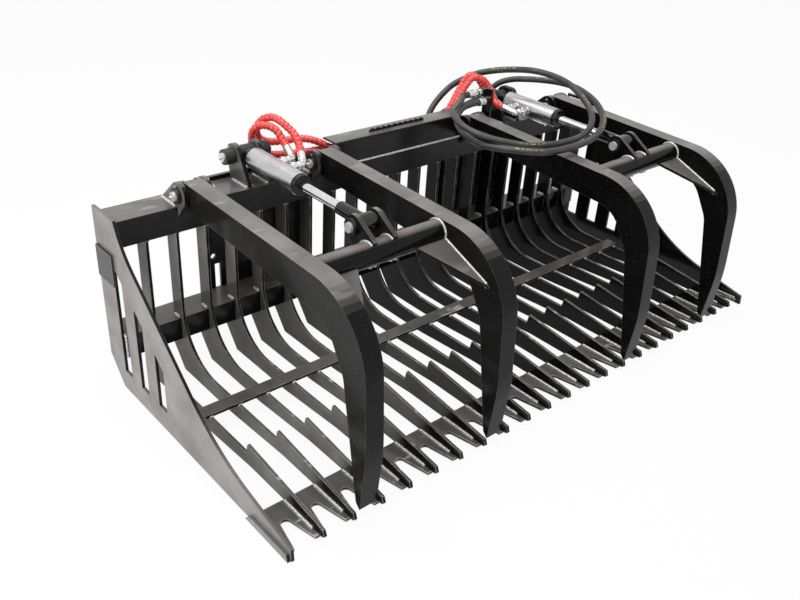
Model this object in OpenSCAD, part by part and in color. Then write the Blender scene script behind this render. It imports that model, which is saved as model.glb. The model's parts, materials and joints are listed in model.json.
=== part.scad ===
// Rock grapple bucket for a skid-steer loader, about 72 inches wide.
// X runs across the bucket, -Y points forward to the tine tips, Z is up.
// Profiles are drawn in a plane of forward distance d and height z, with d = 0 at the plates' rear edge.

/* [Overall] */
// Distance between the mid-planes of two neighbouring tines
tine_pitch = 83; // [70:1:95]
// Thickness of tines and side plates
plate_t = 8; // [6:1:10]
// Forward reach of the tine tips
tip_reach = 844; // [820:1:870]
// Height of the side plates
plate_h = 505; // [500:1:512]

/* [Side plates] */
// Depth of a side plate's top edge
plate_top_d = 114; // [108:1:120]
// Forward place where the front edge leaves the neck
neck_d = 144; // [140:1:150]
// Height of that place
neck_z = 434; // [428:1:440]
// Radius of the neck
neck_r = 230; // [150:10:250]
// Forward place of the belly of the front edge
belly_d = 544; // [530:1:560]
// Height of the belly
belly_z = 96; // [90:1:104]
// Radius of the belly
belly_r = 540; // [400:10:560]
// Height of the nose
nose_h = 30; // [24:1:36]
// Rear chamfer, forward
chamfer_d = 65; // [50:1:75]
// Rear chamfer, height
chamfer_z = 74; // [60:1:85]
// Width of a slot in a side plate
slot_w = 40; // [30:1:46]
// Distance from slot to slot
slot_pitch = 93; // [88:1:98]
// Forward place of the first slot
slot_d = 84; // [80:1:92]
// Height of a slot's foot
slot_foot_z = 60; // [56:1:70]
// Height of the first slot's rear side
slot_top_z = 374; // [360:1:380]
// Height of the wear strip along the foot of a side plate
strip_h = 18; // [14:1:24]
// Length of the wear strip
strip_l = 165; // [120:5:400]
// Side of the square badge plate
badge_w = 88; // [70:1:95]
// Thickness of the badge plate
badge_t = 6; // [4:0.5:8]

/* [Tines] */
// Height of a tine's floor edge
floor_z = 46; // [43:1:50]
// Radius of the sweep from back to floor
sweep_r = 150; // [120:5:180]
// Forward place of the step
step_d = 536; // [520:1:550]
// Height of the step's barb
barb_z = 75; // [70:1:82]
// Height of the tip's top
tip_top_z = 37; // [34:1:40]
// Height of the underside towards the tip
tip_under_z = 16; // [14:1:18]
// Depth of the upright bar of a tine
bar_d = 50; // [44:1:56]
// Forward place of the upright bar's front edge
bar_front_d = 100; // [99:0.5:103]
// Forward place where the underside starts to rise
heel_end_d = 330; // [300:5:360]
// Forward place where the rise ends
rise_end_d = 560; // [520:5:600]
// Forward place of the heel's foot
heel_d = 88; // [80:1:96]

/* [Edge and bar] */
// Forward place of the cutting edge's rear side
edge_rear_d = 690; // [670:1:700]
// Forward reach of the prongs
edge_front_d = 826; // [818:1:830]
// Thickness of the cutting edge
edge_t = 8; // [6:1:10]
// Forward place of a notch's round root
root_d = 756; // [748:1:764]
// Radius of a notch's root
root_r = 13; // [10:0.5:15]
// Width of the opening between two prongs
mouth_w = 55; // [46:1:60]
// Width of the cross bar
crossbar_w = 40; // [30:1:50]
// Thickness of the cross bar
crossbar_t = 8; // [6:1:10]
// Forward place of the cross bar's rear edge
crossbar_d = 330; // [310:1:350]
// Overhang of the cross bar past the end tines
crossbar_over = 12; // [6:1:20]

/* [Beams] */
// Depth of a box beam
beam_d = 90; // [85:1:92]
// Height of the top box beam
top_beam_h = 70; // [64:1:74]
// Height of the top beam's upper side
top_beam_z = 492; // [488:1:494]
// Forward place of the top beam's rear side
top_beam_d = 8; // [6:0.5:9]
// Height of the lower box beam
low_beam_h = 65; // [60:1:70]
// Height of the lower beam's underside
low_beam_z = 102; // [98:1:106]
// Wall of a box beam
beam_wall = 6; // [4:0.5:8]
// Height of the hollow centre cover
cover_h = 70; // [60:1:74]
// Depth of the hollow centre cover
cover_d = 65; // [60:1:70]
// Length of the centre cover
cover_l = 490; // [470:1:492]
// Length that the cover's rear wall stays clear of each open end
mouth_back_l = 64; // [50:1:80]
// Wall of the centre cover
cover_wall = 6; // [4:0.5:8]
// Length of the serrated step
step_l = 212; // [180:1:240]
// Height of the serrated step
step_h = 11; // [8:1:20]
// Thickness of the serrated step
step_t = 5; // [4:0.5:6]

/* [Machine mount] */
// Width of a mounting plate
mount_w = 345; // [320:1:350]
// Distance of a mounting plate's outer edge from the middle
mount_x = 613; // [600:1:620]
// Thickness of a mounting plate
mount_t = 8; // [6:1:10]
// Height of the mounting plate's top edge
mount_top_z = 505; // [500:1:508]
// Rearward reach of the hook and of the ledge
mount_reach = 58; // [50:1:64]
// Length of a lock pin slot
pin_slot_l = 66; // [60:1:76]
// Width of a lock pin slot
pin_slot_w = 26; // [22:1:30]
// Distance of a lock pin slot from the middle
pin_slot_x = 505; // [490:1:515]
// Diameter of the round hole in a mounting plate
mount_hole = 16; // [12:1:20]
// Width of the long window in a mounting plate
window_w = 18; // [14:1:24]
// Height of the long window
window_h = 78; // [60:1:90]

/* [Grapple] */
// Distance of a grapple's middle from the bucket's middle
grapple_x = 495; // [490:1:498]
// Distance between the mid-planes of a grapple's arms
arm_gap = 410; // [404:1:412]
// Width of an arm
arm_w = 50; // [46:1:54]
// Depth of an arm at the hinge
arm_h = 76; // [70:1:78]
// Wall of an arm
arm_wall = 8; // [6:0.5:9]
// Forward place of the hinge
hinge_d = 105; // [103:0.5:107]
// Height of the hinge
hinge_z = 525; // [523:0.5:527]
// Forward reach of an arm
arm_reach = 842; // [838:0.5:844]
// Height of the arm's bend on its outer side
bend_z = 543; // [538:1:546]
// Radius of the bend on the outer side
bend_r = 190; // [160:5:200]
// Height of an arm's tip above the floor
arm_tip_z = 24; // [22:1:30]
// Diameter of the cross tube
tube_dia = 60.3; // [54:0.1:63]
// Wall of the cross tube
tube_wall = 5; // [4:0.5:6]
// Forward place of the cross tube
tube_d = 590; // [586:1:594]
// Height of the cross tube
tube_z = 508; // [505:0.5:510]
// Thickness of lugs
lug_t = 12; // [10:1:13]
// Running gap between a lug and what it holds
lug_gap = 3; // [2:0.5:3]
// Diameter of hinge pins
pin_dia = 25; // [22:1:26]
// Radial clearance of a pin
pin_clear = 0.08; // [0.05:0.01:0.1]

/* [Cylinder] */
// Forward place of the cylinder's base pin
base_d = 25; // [23:0.5:27]
// Height of the base pin
base_z = 562; // [560:0.5:564]
// Forward place of the rod pin
rod_pin_d = 535; // [533:0.5:537]
// Height of the rod pin
rod_pin_z = 556; // [554:0.5:558]
// Outside diameter of the barrel
barrel_od = 58; // [56:0.5:60]
// Bore of the barrel
barrel_bore = 48; // [46:0.5:50]
// Distance from the base pin to the barrel's front end
barrel_end = 250; // [246:1:256]
// Diameter of the rod
rod_dia = 25; // [22:0.5:25.5]
// Side clearance of the rod in its gland
rod_play = 4.1; // [4:0.1:4.6]
// Distance from the base pin to the rod's inner end at rest
rod_start = 186; // [176:1:192]
// Length of the rod end's sleeve and eye
rod_end_l = 94; // [86:1:98]
// Width of the rod end's eye
rod_eye_w = 46; // [42:1:48]
// Width of the barrel's base tube
base_eye_w = 46; // [42:1:60]
// Outside diameter of the eyes
eye_od = 46; // [42:1:48]

/* [Hoses] */
// Outside diameter of the guarded hoses over the beads
guard_od = 22; // [20:0.5:23]
// Bore of the guarded hoses
guard_bore = 8; // [6:0.5:9]
// Distance from bead to bead
bead_pitch = 13; // [12:0.5:18]
// Outside diameter of the feed hoses
feed_od = 20; // [18:0.5:21]

/* [Hidden] */
$fn = 48;
over = 1;
tine_count = 21;
inner_tines = 10;
arc_n = 16;
half_w = (tine_count + 1) / 2 * tine_pitch;
in_w = 2 * half_w - plate_t;
y_back = (tip_reach - mount_reach) / 2;
pair_nodes = [for (i = [1:inner_tines]) str("tine_pair_", i < 10 ? "0" : "", i)];

// Colours of the finishes
black_paint = [0.07, 0.07, 0.075];
grey_paint = [0.30, 0.29, 0.28];
steel = [0.66, 0.67, 0.68];
chrome = [0.86, 0.87, 0.88];
zinc = [0.75, 0.76, 0.74];
red_guard = [0.80, 0.07, 0.06];
rubber = [0.09, 0.09, 0.09];

// Tines
tine_low_back_d = 5;
barb_lean = 6;
badge_drop = 100;
tip_nose_drop = 16;
tip_nose_back = 6;
top_beam_under = top_beam_z - top_beam_h;
low_beam_top = low_beam_z + low_beam_h;

// Cutting edge
edge_z = tip_under_z - edge_t;

// Centre cover
cover_front_d = top_beam_d + beam_d;
cover_rear_d = cover_front_d - cover_d;
cover_top_z = top_beam_z + cover_h;
step_tooth = 21.2;
step_tooth_h = 5;
step_inset = 37;

// Machine mount
hook_drop = 44;
hook_rise = 14;
hook_root_t = 3;
hook_root_h = 65;
ledge_t = 10;
ledge_drop = 20;
mount_hole_in = 18;
mount_hole_z = 268;
window_in = 30;
window_z = 165;
mount_foot_z = low_beam_z - ledge_drop;

// Grapple
arm_end_r = 33;
arm_x = arm_gap / 2;
claw_h = 74;
claw_tip_w = 14;
tip_inset = 14;
knee_back = 197;
knee_d = arm_reach - knee_back;
throat_back = 87;
throat_d = arm_reach - throat_back;
throat_z = 350;
throat_r = 95;
boss_od = 46;
boss_ring_t = 10;
base_ring_t = 30;
lug_r = 34;
lug_rear_d = 16;
lug_front_z = 466;
lug_x = arm_w / 2 + lug_gap + lug_t / 2;
pin_end = 6;
pin_stub = 3;
bolt_d = 8;
bolt_head_h = 5;
gusset_t = 8;
gusset_tube_l = 92;
gusset_arm_l = 168;
gusset_fall_d = 150;
gusset_fall_z = 60;
clevis_r = 28;
clevis_foot_r = 40;
clevis_x = rod_eye_w / 2 + lug_gap / 2 + lug_t / 2;
seat_gap = 0.3;
hose_gap = 1.3;

// Cylinder
cyl_l = norm([rod_pin_d - base_d, rod_pin_z - base_z]);
cyl_a = atan2(rod_pin_z - base_z, rod_pin_d - base_d);
barrel_start = 44;
barrel_cap_t = 10;
gland_out = 12;
gland_in = 26;
gland_rim = 2;
gland_fit = 0.04;
piston_l = 26;
piston_play = 0.4;
sleeve_od = 34;
base_lug_x = base_eye_w / 2 + lug_gap + lug_t / 2;
base_lug_r = 32;
collar_od = 42;
port_s = [104, 150];
port_boss_d = 20;
port_boss_l = 14;
adapter_d = 16;
adapter_l = 38;
elbow_d = 14;
hex_d = 24;
hex_l = 12;
ferrule_d = 21;
ferrule_l = 34;
hard_line_d = 8;
line_lean = 50;

// Feed tees
tee_x = 344;
tee_w = 22;
tee_post_t = 8;
tee_post_w = 36;

// Unit vector along v
function unit(v) = v / norm(v);
// Points of one rounded corner p1 between p0 and p2, with radius r
function corner(p0, p1, p2, r) =
    let(a = unit(p0 - p1), b = unit(p2 - p1), half = acos(a * b) / 2,
        c = p1 + unit(a + b) * r / sin(half), s = p1 + a * r / tan(half) - c,
        e = p1 + b * r / tan(half) - c, a0 = atan2(s.y, s.x), turn = atan2(e.y, e.x) - a0,
        sweep = turn > 180 ? turn - 360 : turn < -180 ? turn + 360 : turn)
    [for (i = [0:arc_n]) c + r * [cos(a0 + sweep * i / arc_n), sin(a0 + sweep * i / arc_n)]];
// Outline from corners given as [d, z, radius]
function outline(v) =
    [for (i = [0:len(v) - 1])
        let(p = v[i], a = v[(i + len(v) - 1) % len(v)], b = v[(i + 1) % len(v)])
        each (p.z == 0 ? [[p.x, p.y]] : corner([a.x, a.y], [p.x, p.y], [b.x, b.y], p.z))];
// Same corners with every side moved inwards by t, for an outline that runs clockwise in d and z
function cross2(a, b) = a.x * b.y - a.y * b.x;
function left_of(u) = [u.y, -u.x];
function inset(v, t) =
    [for (i = [0:len(v) - 1])
        let(p = [v[i].x, v[i].y], a = v[(i + len(v) - 1) % len(v)], b = v[(i + 1) % len(v)],
            u = unit(p - [a.x, a.y]), w = unit([b.x, b.y] - p), n = left_of(u), m = left_of(w),
            bend = cross2(u, w), q = p + t * (n + m) / (1 + n * m),
            r = v[i].z == 0 ? 0 : v[i].z + (bend > 0 ? t : -t))
        [q.x, q.y, max(r, 0)]];
// Touching point of a tangent from p to the circle at c with radius r, on side s
function touch(p, c, r, s) =
    let(v = p - c, l = norm(v), a = atan2(v.y, v.x) + s * acos(r / l)) c + r * [cos(a), sin(a)];
// Place on the front edge of a side plate's straight flank at forward distance d
function flank_z(d) = neck_z + (belly_z - neck_z) * (d - neck_d) / (belly_d - neck_d);

// Upright plate of a profile in d and z, centred at x
module slab(x, t) {
    translate([x, y_back, 0]) rotate([90, 0, -90])
        linear_extrude(t, center = true) children();
}
// Round bar across the bucket
module cross_rod(d, z, x, l, r) {
    translate([x, y_back - d, z]) rotate([0, 90, 0]) cylinder(r = r, h = l, center = true);
}
// Box from two corners given as [x, d, z]
module block(a, b) {
    translate([a.x, y_back - b.y, a.z]) cube([b.x - a.x, b.y - a.y, b.z - a.z]);
}
// Frame of a cylinder: z along its axis from the base pin, y up
module on_cylinder(side) {
    translate([side * grapple_x, y_back - base_d, base_z]) rotate([90 - cyl_a, 0, 0]) children();
}
// Straight round piece between two points
module strut(p, q, r) {
    v = q - p;
    translate(p) rotate([0, acos(v.z / norm(v)), atan2(v.y, v.x)]) cylinder(r = r, h = norm(v));
}
// World point from [x, d, z]
function world(p) = [p.x, y_back - p.y, p.z];

module side_profile() {
    polygon(outline([
        [0, chamfer_z, 0], [0, plate_h, 0], [plate_top_d, plate_h, 0],
        [neck_d, neck_z, neck_r], [belly_d, belly_z, belly_r],
        [tip_reach - tip_nose_back, nose_h, 0], [tip_reach - tip_nose_back / 2, 0, 0],
        [chamfer_d, 0, 0]]));
}
module side_slots() {
    fall = (belly_z - neck_z) / (belly_d - neck_d);
    for (i = [0:2]) {
        d = slot_d + i * slot_pitch;
        top = slot_top_z + fall * i * slot_pitch;
        polygon(outline([[d, slot_foot_z, root_r / 4], [d, top, root_r / 4],
            [d + slot_w, top + fall * slot_w, root_r / 4], [d + slot_w, slot_foot_z, root_r / 4]]));
    }
}
module side_plate(side) {
    color(grey_paint) slab(side * half_w, plate_t) difference() {
        side_profile();
        side_slots();
    }
}
module side_plate_left() { side_plate(-1); }
module side_plate_right() { side_plate(1); }

module wear_strips() {
    front = tip_reach - tip_nose_back;
    color(black_paint) for (side = [-1, 1])
        slab(side * (half_w + plate_t), plate_t)
            polygon([[front - strip_l, 0], [front - strip_l + strip_h, strip_h],
                [front - strip_h / 3, strip_h], [front, 0]]);
}
module badge_plate() {
    z0 = plate_h - badge_w - badge_drop;
    color(black_paint) slab(-half_w - plate_t / 2 - badge_t / 2, badge_t)
        polygon(outline([[badge_t, z0, badge_t / 2], [badge_t, z0 + badge_w, badge_t / 2],
            [badge_t + badge_w, z0 + badge_w, badge_t / 2], [badge_t + badge_w, z0, badge_t / 2]]));
}

module tine_profile() {
    polygon(outline([
        [bar_front_d - bar_d, low_beam_top, 0], [bar_front_d - bar_d, top_beam_under, 0],
        [bar_front_d, top_beam_under, 0], [bar_front_d, floor_z, sweep_r],
        [step_d, floor_z, 0], [step_d + barb_lean, barb_z, 0],
        [tip_reach - tip_nose_back, tip_top_z, 0], [tip_reach, tip_top_z - tip_nose_drop, 0],
        [tip_reach - tip_nose_back, tip_under_z, 0], [rise_end_d, tip_under_z, 0],
        [heel_end_d, 0, 0], [heel_d, 0, 0], [tine_low_back_d, low_beam_z, 0],
        [beam_d, low_beam_z, 0], [beam_d, low_beam_top, 0]]));
}
module tine(x) { slab(x, plate_t) tine_profile(); }
module tine_pair(i) {
    color(grey_paint) for (side = [-1, 1]) tine(side * (inner_tines + 1 - i) * tine_pitch);
}
module tine_centre() { color(grey_paint) tine(0); }

// One notch of the cutting edge, in x and forward distance
module notch() {
    circle(r = root_r);
    polygon([[-root_r, 0], [root_r, 0], [mouth_w / 2, edge_front_d - root_d + over],
        [-mouth_w / 2, edge_front_d - root_d + over]]);
}
module cutting_edge() {
    color(grey_paint) translate([0, y_back, edge_z]) mirror([0, 1, 0]) linear_extrude(edge_t)
        difference() {
            translate([-in_w / 2, edge_rear_d]) square([in_w, edge_front_d - edge_rear_d]);
            for (i = [0:tine_count])
                translate([(i - tine_count / 2) * tine_pitch, root_d]) notch();
        }
}
module cross_bar() {
    half = inner_tines * tine_pitch + plate_t / 2 + crossbar_over;
    color(grey_paint) block([-half, crossbar_d, floor_z],
        [half, crossbar_d + crossbar_w, floor_z + crossbar_t]);
}
module box_beam(d, z, h) {
    color(black_paint) difference() {
        block([-in_w / 2, d, z], [in_w / 2, d + beam_d, z + h]);
        block([-in_w / 2 - over, d + beam_wall, z + beam_wall],
            [in_w / 2 + over, d + beam_d - beam_wall, z + h - beam_wall]);
    }
}
module lower_beam() { box_beam(0, low_beam_z, low_beam_h); }
module top_beam() { box_beam(top_beam_d, top_beam_under, top_beam_h); }

module centre_cover() {
    color(grey_paint) difference() {
        slab(0, cover_l) difference() {
            polygon(outline([[cover_rear_d, top_beam_z, 0], [cover_rear_d, cover_top_z, cover_wall],
                [cover_front_d, cover_top_z, cover_wall], [cover_front_d, top_beam_z, 0]]));
            polygon([[cover_rear_d + cover_wall, top_beam_z - over],
                [cover_rear_d + cover_wall, cover_top_z - cover_wall],
                [cover_front_d - cover_wall, cover_top_z - cover_wall],
                [cover_front_d - cover_wall, top_beam_z - over]]);
        }
        for (s = [-1, 1]) slab(s * cover_l / 2, 2 * mouth_back_l)
            translate([cover_rear_d - over, top_beam_z - over])
                square([cover_wall + 2 * over, cover_h - cover_wall + over]);
    }
}
module step_grip() {
    teeth = floor(step_l / step_tooth);
    color(black_paint) translate([-step_l / 2, y_back - cover_rear_d - step_inset, cover_top_z])
        rotate([90, 0, 0]) linear_extrude(step_t) polygon(concat([[step_l, 0], [0, 0]],
            [for (i = [0:teeth - 1]) each [[i * step_tooth, step_h - step_tooth_h],
                [i * step_tooth + step_tooth / 2, step_h]]],
            [[step_l, step_h - step_tooth_h]]));
}

// Quick-attach plate with a hook along its top and a slotted ledge along its foot
module mount_plate(side) {
    x_out = side * mount_x;
    x_mid = side * (mount_x - mount_w / 2);
    color(black_paint) difference() {
        union() {
            slab(x_mid, mount_w) {
                polygon([[-mount_t, mount_foot_z], [-mount_t, mount_top_z], [0, mount_top_z],
                    [0, mount_foot_z]]);
                polygon([[0, top_beam_under], [0, top_beam_z], [top_beam_d, top_beam_z],
                    [top_beam_d, top_beam_under]]);
                polygon([[-mount_t - hook_root_t, mount_top_z - hook_root_h],
                    [-mount_t - hook_root_t, mount_top_z], [-mount_t / 2, mount_top_z],
                    [-mount_t / 2, mount_top_z - hook_root_h]]);
                polygon([[-mount_t / 2, mount_top_z], [-mount_t / 2, mount_top_z - hook_rise],
                    [-mount_reach, mount_top_z - hook_drop - hook_rise],
                    [-mount_reach, mount_top_z - hook_drop]]);
                polygon([[-mount_t / 2, mount_foot_z + ledge_t + ledge_drop],
                    [-mount_reach, mount_foot_z + ledge_t], [-mount_reach, mount_foot_z],
                    [-mount_t / 2, mount_foot_z + ledge_drop]]);
            }
        }
        slab(x_out - side * window_in, window_w)
            polygon([[-mount_t - over, window_z], [-mount_t - over, window_z + window_h],
                [over, window_z + window_h], [over, window_z]]);
        translate([x_out - side * mount_hole_in, y_back + mount_t / 2, mount_hole_z])
            rotate([90, 0, 0]) cylinder(d = mount_hole, h = 2 * mount_t, center = true);
        block([side * pin_slot_x - pin_slot_l / 2, -mount_reach / 2 - pin_slot_w / 2 - mount_t,
                mount_foot_z - over],
            [side * pin_slot_x + pin_slot_l / 2, -mount_reach / 2 + pin_slot_w / 2 - mount_t,
                mount_foot_z + ledge_t + ledge_drop + over]);
    }
}
module mount_plate_left() { mount_plate(-1); }
module mount_plate_right() { mount_plate(1); }

// Lug with a round head at c and a foot between two points
module lug_profile(c, r, a, b, sa, sb) {
    translate(c) circle(r = r);
    polygon([a, touch(a, c, r, sa), c, touch(b, c, r, sb), b]);
}
module hinge_lugs() {
    c = [hinge_d, hinge_z];
    front = top_beam_d + beam_d;
    color(black_paint) for (g = [-1, 1]) for (a = [-1, 1]) for (s = [-1, 1])
        slab(g * grapple_x + a * arm_x + s * lug_x, lug_t) difference() {
            union() {
                lug_profile(c, lug_r, [lug_rear_d, top_beam_z], [front, lug_front_z], -1, 1);
                polygon([[lug_rear_d, top_beam_z], c, [front, lug_front_z]]);
            }
            polygon([[-over, lug_front_z - lug_r], [-over, top_beam_z], [front, top_beam_z],
                [front, lug_front_z - lug_r]]);
            translate(c) circle(d = pin_dia + 2 * pin_clear);
        }
}
module cylinder_brackets() {
    c = [base_d, base_z];
    color(black_paint) for (g = [-1, 1]) for (s = [-1, 1])
        slab(g * grapple_x + s * base_lug_x, lug_t) difference() {
            lug_profile(c, base_lug_r, [top_beam_d, top_beam_z],
                [top_beam_d + beam_d, top_beam_z], -1, 1);
            translate(c) circle(d = pin_dia + 2 * pin_clear);
        }
}
// Pins that the bucket holds, with their collar rings beside the lugs
hinge_seat = lug_x + lug_t / 2;
base_seat = base_lug_x + lug_t / 2;
// Sides of the hinge pin of arm a on grapple g that have room for a ring: the middle has none
function ring_sides(g, a) = a == -g ? [g] : [-1, 1];
module pivot_pins() {
    far = hinge_seat + boss_ring_t + pin_end;
    color(steel) for (g = [-1, 1]) {
        for (a = [-1, 1]) {
            near = a == -g ? hinge_seat + pin_stub : far;
            x = g * grapple_x + a * arm_x;
            cross_rod(hinge_d, hinge_z, x + g * (far - near) / 2, far + near, pin_dia / 2);
            for (s = ring_sides(g, a))
                collar(hinge_d, hinge_z, x + s * hinge_seat, s, boss_ring_t);
        }
        pin_with_rings(base_d, base_z, g * grapple_x, base_seat, base_ring_t);
    }
}
module collar(d, z, x, s, l) { cross_rod(d, z, x + s * l / 2, l, collar_od / 2); }
module pin_with_rings(d, z, x, seat, l) {
    cross_rod(d, z, x, 2 * (seat + l + pin_end), pin_dia / 2);
    for (s = [-1, 1]) collar(d, z, x + s * seat, s, l);
}
// Heads of the retaining bolts, one on each collar ring
module pin_bolts() {
    lift = collar_od / 2 + seat_gap;
    color(zinc) for (g = [-1, 1]) {
        for (a = [-1, 1]) for (s = ring_sides(g, a))
            bolt_head(g * grapple_x + a * arm_x + s * (hinge_seat + boss_ring_t / 2), hinge_d,
                hinge_z + lift);
        for (s = [-1, 1])
            bolt_head(g * grapple_x + s * (base_seat + base_ring_t / 2), base_d, base_z + lift);
    }
}
module bolt_head(x, d, z) {
    translate(world([x, d, z])) cylinder(d = bolt_d, h = bolt_head_h, $fn = 6);
}

// Corners of an arm's outline, clockwise from the hinge end
arm_low_z = hinge_z - arm_end_r;
arm_corners = [
    [hinge_d, hinge_z - arm_end_r, 0], [hinge_d, hinge_z + arm_end_r, 0],
    [arm_reach - (arm_reach - knee_d) / 8, bend_z - tip_inset / 2, bend_r],
    [arm_reach, arm_low_z / 3 + tip_inset, 3 * bend_r], [arm_reach - tip_inset, arm_tip_z, 0],
    [arm_reach - tip_inset - claw_tip_w, arm_tip_z + claw_tip_w, 0],
    [throat_d, throat_z, throat_r], [throat_d - bend_r / 3, bend_z - claw_h - tip_inset, throat_r]];
module arm_profile() { polygon(outline(arm_corners)); }
module arm(g, a) {
    x = g * grapple_x + a * arm_x;
    color(grey_paint) difference() {
        union() {
            slab(x, arm_w) arm_profile();
            cross_rod(hinge_d, hinge_z, x, arm_w, arm_end_r);
        }
        slab(x, arm_w - 2 * arm_wall) polygon(outline(inset(arm_corners, arm_wall)));
        slab(x, arm_w - 2 * arm_wall) difference() {
            translate([hinge_d - arm_h, hinge_z - arm_h / 2 - over])
                square([arm_h + arm_wall + over, arm_h + 2 * over]);
            translate([hinge_d, hinge_z]) circle(d = boss_od);
            translate([hinge_d, hinge_z + arm_end_r - arm_wall]) square([arm_h, arm_wall + 2 * over]);
        }
        cross_rod(hinge_d, hinge_z, x, arm_w + 2 * over, pin_dia / 2 + pin_clear);
    }
}
module left_arm_outer() { arm(-1, -1); }
module left_arm_inner() { arm(-1, 1); }
module right_arm_outer() { arm(1, 1); }
module right_arm_inner() { arm(1, -1); }

module cross_tube(g) {
    l = arm_gap - arm_w;
    color(grey_paint) difference() {
        cross_rod(tube_d, tube_z, g * grapple_x, l, tube_dia / 2);
        cross_rod(tube_d, tube_z, g * grapple_x, l + 2 * over, tube_dia / 2 - tube_wall);
    }
}
module left_cross_tube() { cross_tube(-1); }
module right_cross_tube() { cross_tube(1); }

// Triangular plates that tie the tube to the inner faces of the arms
module gussets(g) {
    fall = atan2(gusset_fall_z, gusset_fall_d);
    color(grey_paint) for (s = [-1, 1])
        translate(world([g * grapple_x + s * (arm_x - arm_w / 2), tube_d, tube_z]))
            rotate([fall, 0, 0]) translate([0, -tube_dia / 2 - seat_gap, -gusset_t / 2])
                linear_extrude(gusset_t)
                    polygon([[0, 0], [-s * gusset_tube_l, 0], [0, -gusset_arm_l]]);
}
module left_gussets() { gussets(-1); }
module right_gussets() { gussets(1); }

module clevis(g) {
    p = [rod_pin_d, rod_pin_z];
    t = [tube_d, tube_z];
    v = unit(t - p);
    side = [v.y, -v.x];
    lean = asin((clevis_foot_r - clevis_r) / norm(t - p));
    function arc_edge(c, r, s) = c + r * s * (side * cos(lean)) - r * v * sin(lean);
    color(black_paint) for (s = [-1, 1])
        slab(g * grapple_x + s * clevis_x, lug_t) difference() {
            union() {
                translate(p) circle(r = clevis_r);
                polygon([arc_edge(p, clevis_r, 1), arc_edge(t, clevis_foot_r, 1), t,
                    arc_edge(t, clevis_foot_r, -1), arc_edge(p, clevis_r, -1)]);
            }
            translate(t) circle(d = tube_dia);
            translate(p) circle(d = pin_dia + 2 * pin_clear);
        }
}
module left_clevis() { clevis(-1); }
module right_clevis() { clevis(1); }

module clevis_pin(g) {
    color(steel) pin_with_rings(rod_pin_d, rod_pin_z, g * grapple_x, clevis_x + lug_t / 2,
        boss_ring_t);
}
module left_clevis_pin() { clevis_pin(-1); }
module right_clevis_pin() { clevis_pin(1); }

module barrel(g) {
    color(steel) on_cylinder(g) difference() {
        union() {
            translate([0, 0, barrel_start]) cylinder(d = barrel_od, h = barrel_end - barrel_start);
            rotate([0, 90, 0]) cylinder(d = eye_od, h = base_eye_w, center = true);
            cylinder(d = sleeve_od, h = barrel_start + over);
            for (s = port_s) translate([0, 0, s]) rotate([0, -g * 90, 0])
                cylinder(d = port_boss_d, h = barrel_od / 2 + port_boss_l);
        }
        translate([0, 0, barrel_start + barrel_cap_t])
            cylinder(d = barrel_bore, h = barrel_end);
        rotate([0, 90, 0]) cylinder(d = pin_dia + 2 * pin_clear, h = base_eye_w + over,
            center = true);
    }
}
module left_barrel() { barrel(-1); }
module right_barrel() { barrel(1); }

module gland(g) {
    color(black_paint) on_cylinder(g) difference() {
        union() {
            translate([0, 0, barrel_end]) cylinder(d = barrel_od - 2 * gland_rim, h = gland_out);
            translate([0, 0, barrel_end - gland_in])
                cylinder(d = barrel_bore - 2 * gland_fit, h = gland_in + over);
        }
        translate([0, 0, barrel_end - gland_in - over])
            cylinder(d = rod_dia + 2 * rod_play, h = gland_in + gland_out + 2 * over);
    }
}
module left_gland() { gland(-1); }
module right_gland() { gland(1); }

module rod(g) {
    color(chrome) on_cylinder(g) difference() {
        union() {
            translate([0, 0, rod_start]) cylinder(d = rod_dia, h = cyl_l - rod_start);
            translate([0, 0, cyl_l - rod_end_l]) cylinder(d = sleeve_od, h = rod_end_l);
            translate([0, 0, cyl_l]) rotate([0, 90, 0])
                cylinder(d = eye_od, h = rod_eye_w, center = true);
        }
        translate([0, 0, cyl_l]) rotate([0, 90, 0])
            cylinder(d = pin_dia + 2 * pin_clear, h = rod_eye_w + over, center = true);
    }
}
module left_rod() { rod(-1); }
module right_rod() { rod(1); }

module piston(g) {
    color(zinc) on_cylinder(g) translate([0, 0, rod_start - piston_l])
        cylinder(d = barrel_bore - 2 * rod_play - 2 * piston_play, h = piston_l);
}
module left_piston() { piston(-1); }
module right_piston() { piston(1); }

// Fittings of one port: adapter, elbow and the ferrule of its hose
function port_at(g, s) = [g * (grapple_x - barrel_od / 2 - port_boss_l), base_d + s, base_z
    + s * tan(cyl_a)];
function elbow_at(g, s) = port_at(g, s) + [-g * adapter_l, 0, 0];
// Directions in which the two hoses leave their elbows, towards the middle, back and up
ferrule_dirs = [unit([10, -46, 20]), unit([33, -60, 22])];
function ferrule_at(g, i, l) =
    let(v = ferrule_dirs[i]) elbow_at(g, port_s[i]) + l * [-g * v.x, v.y, v.z];
module fittings(g) {
    color(zinc) {
        for (i = [0, 1]) {
            p = world(port_at(g, port_s[i]));
            e = world(elbow_at(g, port_s[i]));
            strut(p, e, adapter_d / 2);
            strut(p, p + [-g * hex_l, 0, 0], hex_d / 2);
            translate(e) sphere(d = adapter_d);
            strut(e, world(ferrule_at(g, i, ferrule_l)), elbow_d / 2);
            strut(world(ferrule_at(g, i, hex_l)), world(ferrule_at(g, i, ferrule_l + hex_l)),
                ferrule_d / 2);
        }
    }
    seat = barrel_od / 2 + hard_line_d / 2 + seat_gap;
    color(zinc) on_cylinder(g) translate([-g * seat * cos(line_lean), -seat * sin(line_lean),
        port_s[1] - port_boss_d]) cylinder(d = hard_line_d, h = barrel_end - port_s[1]);
}
module left_fittings() { fittings(-1); }
module right_fittings() { fittings(1); }

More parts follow.
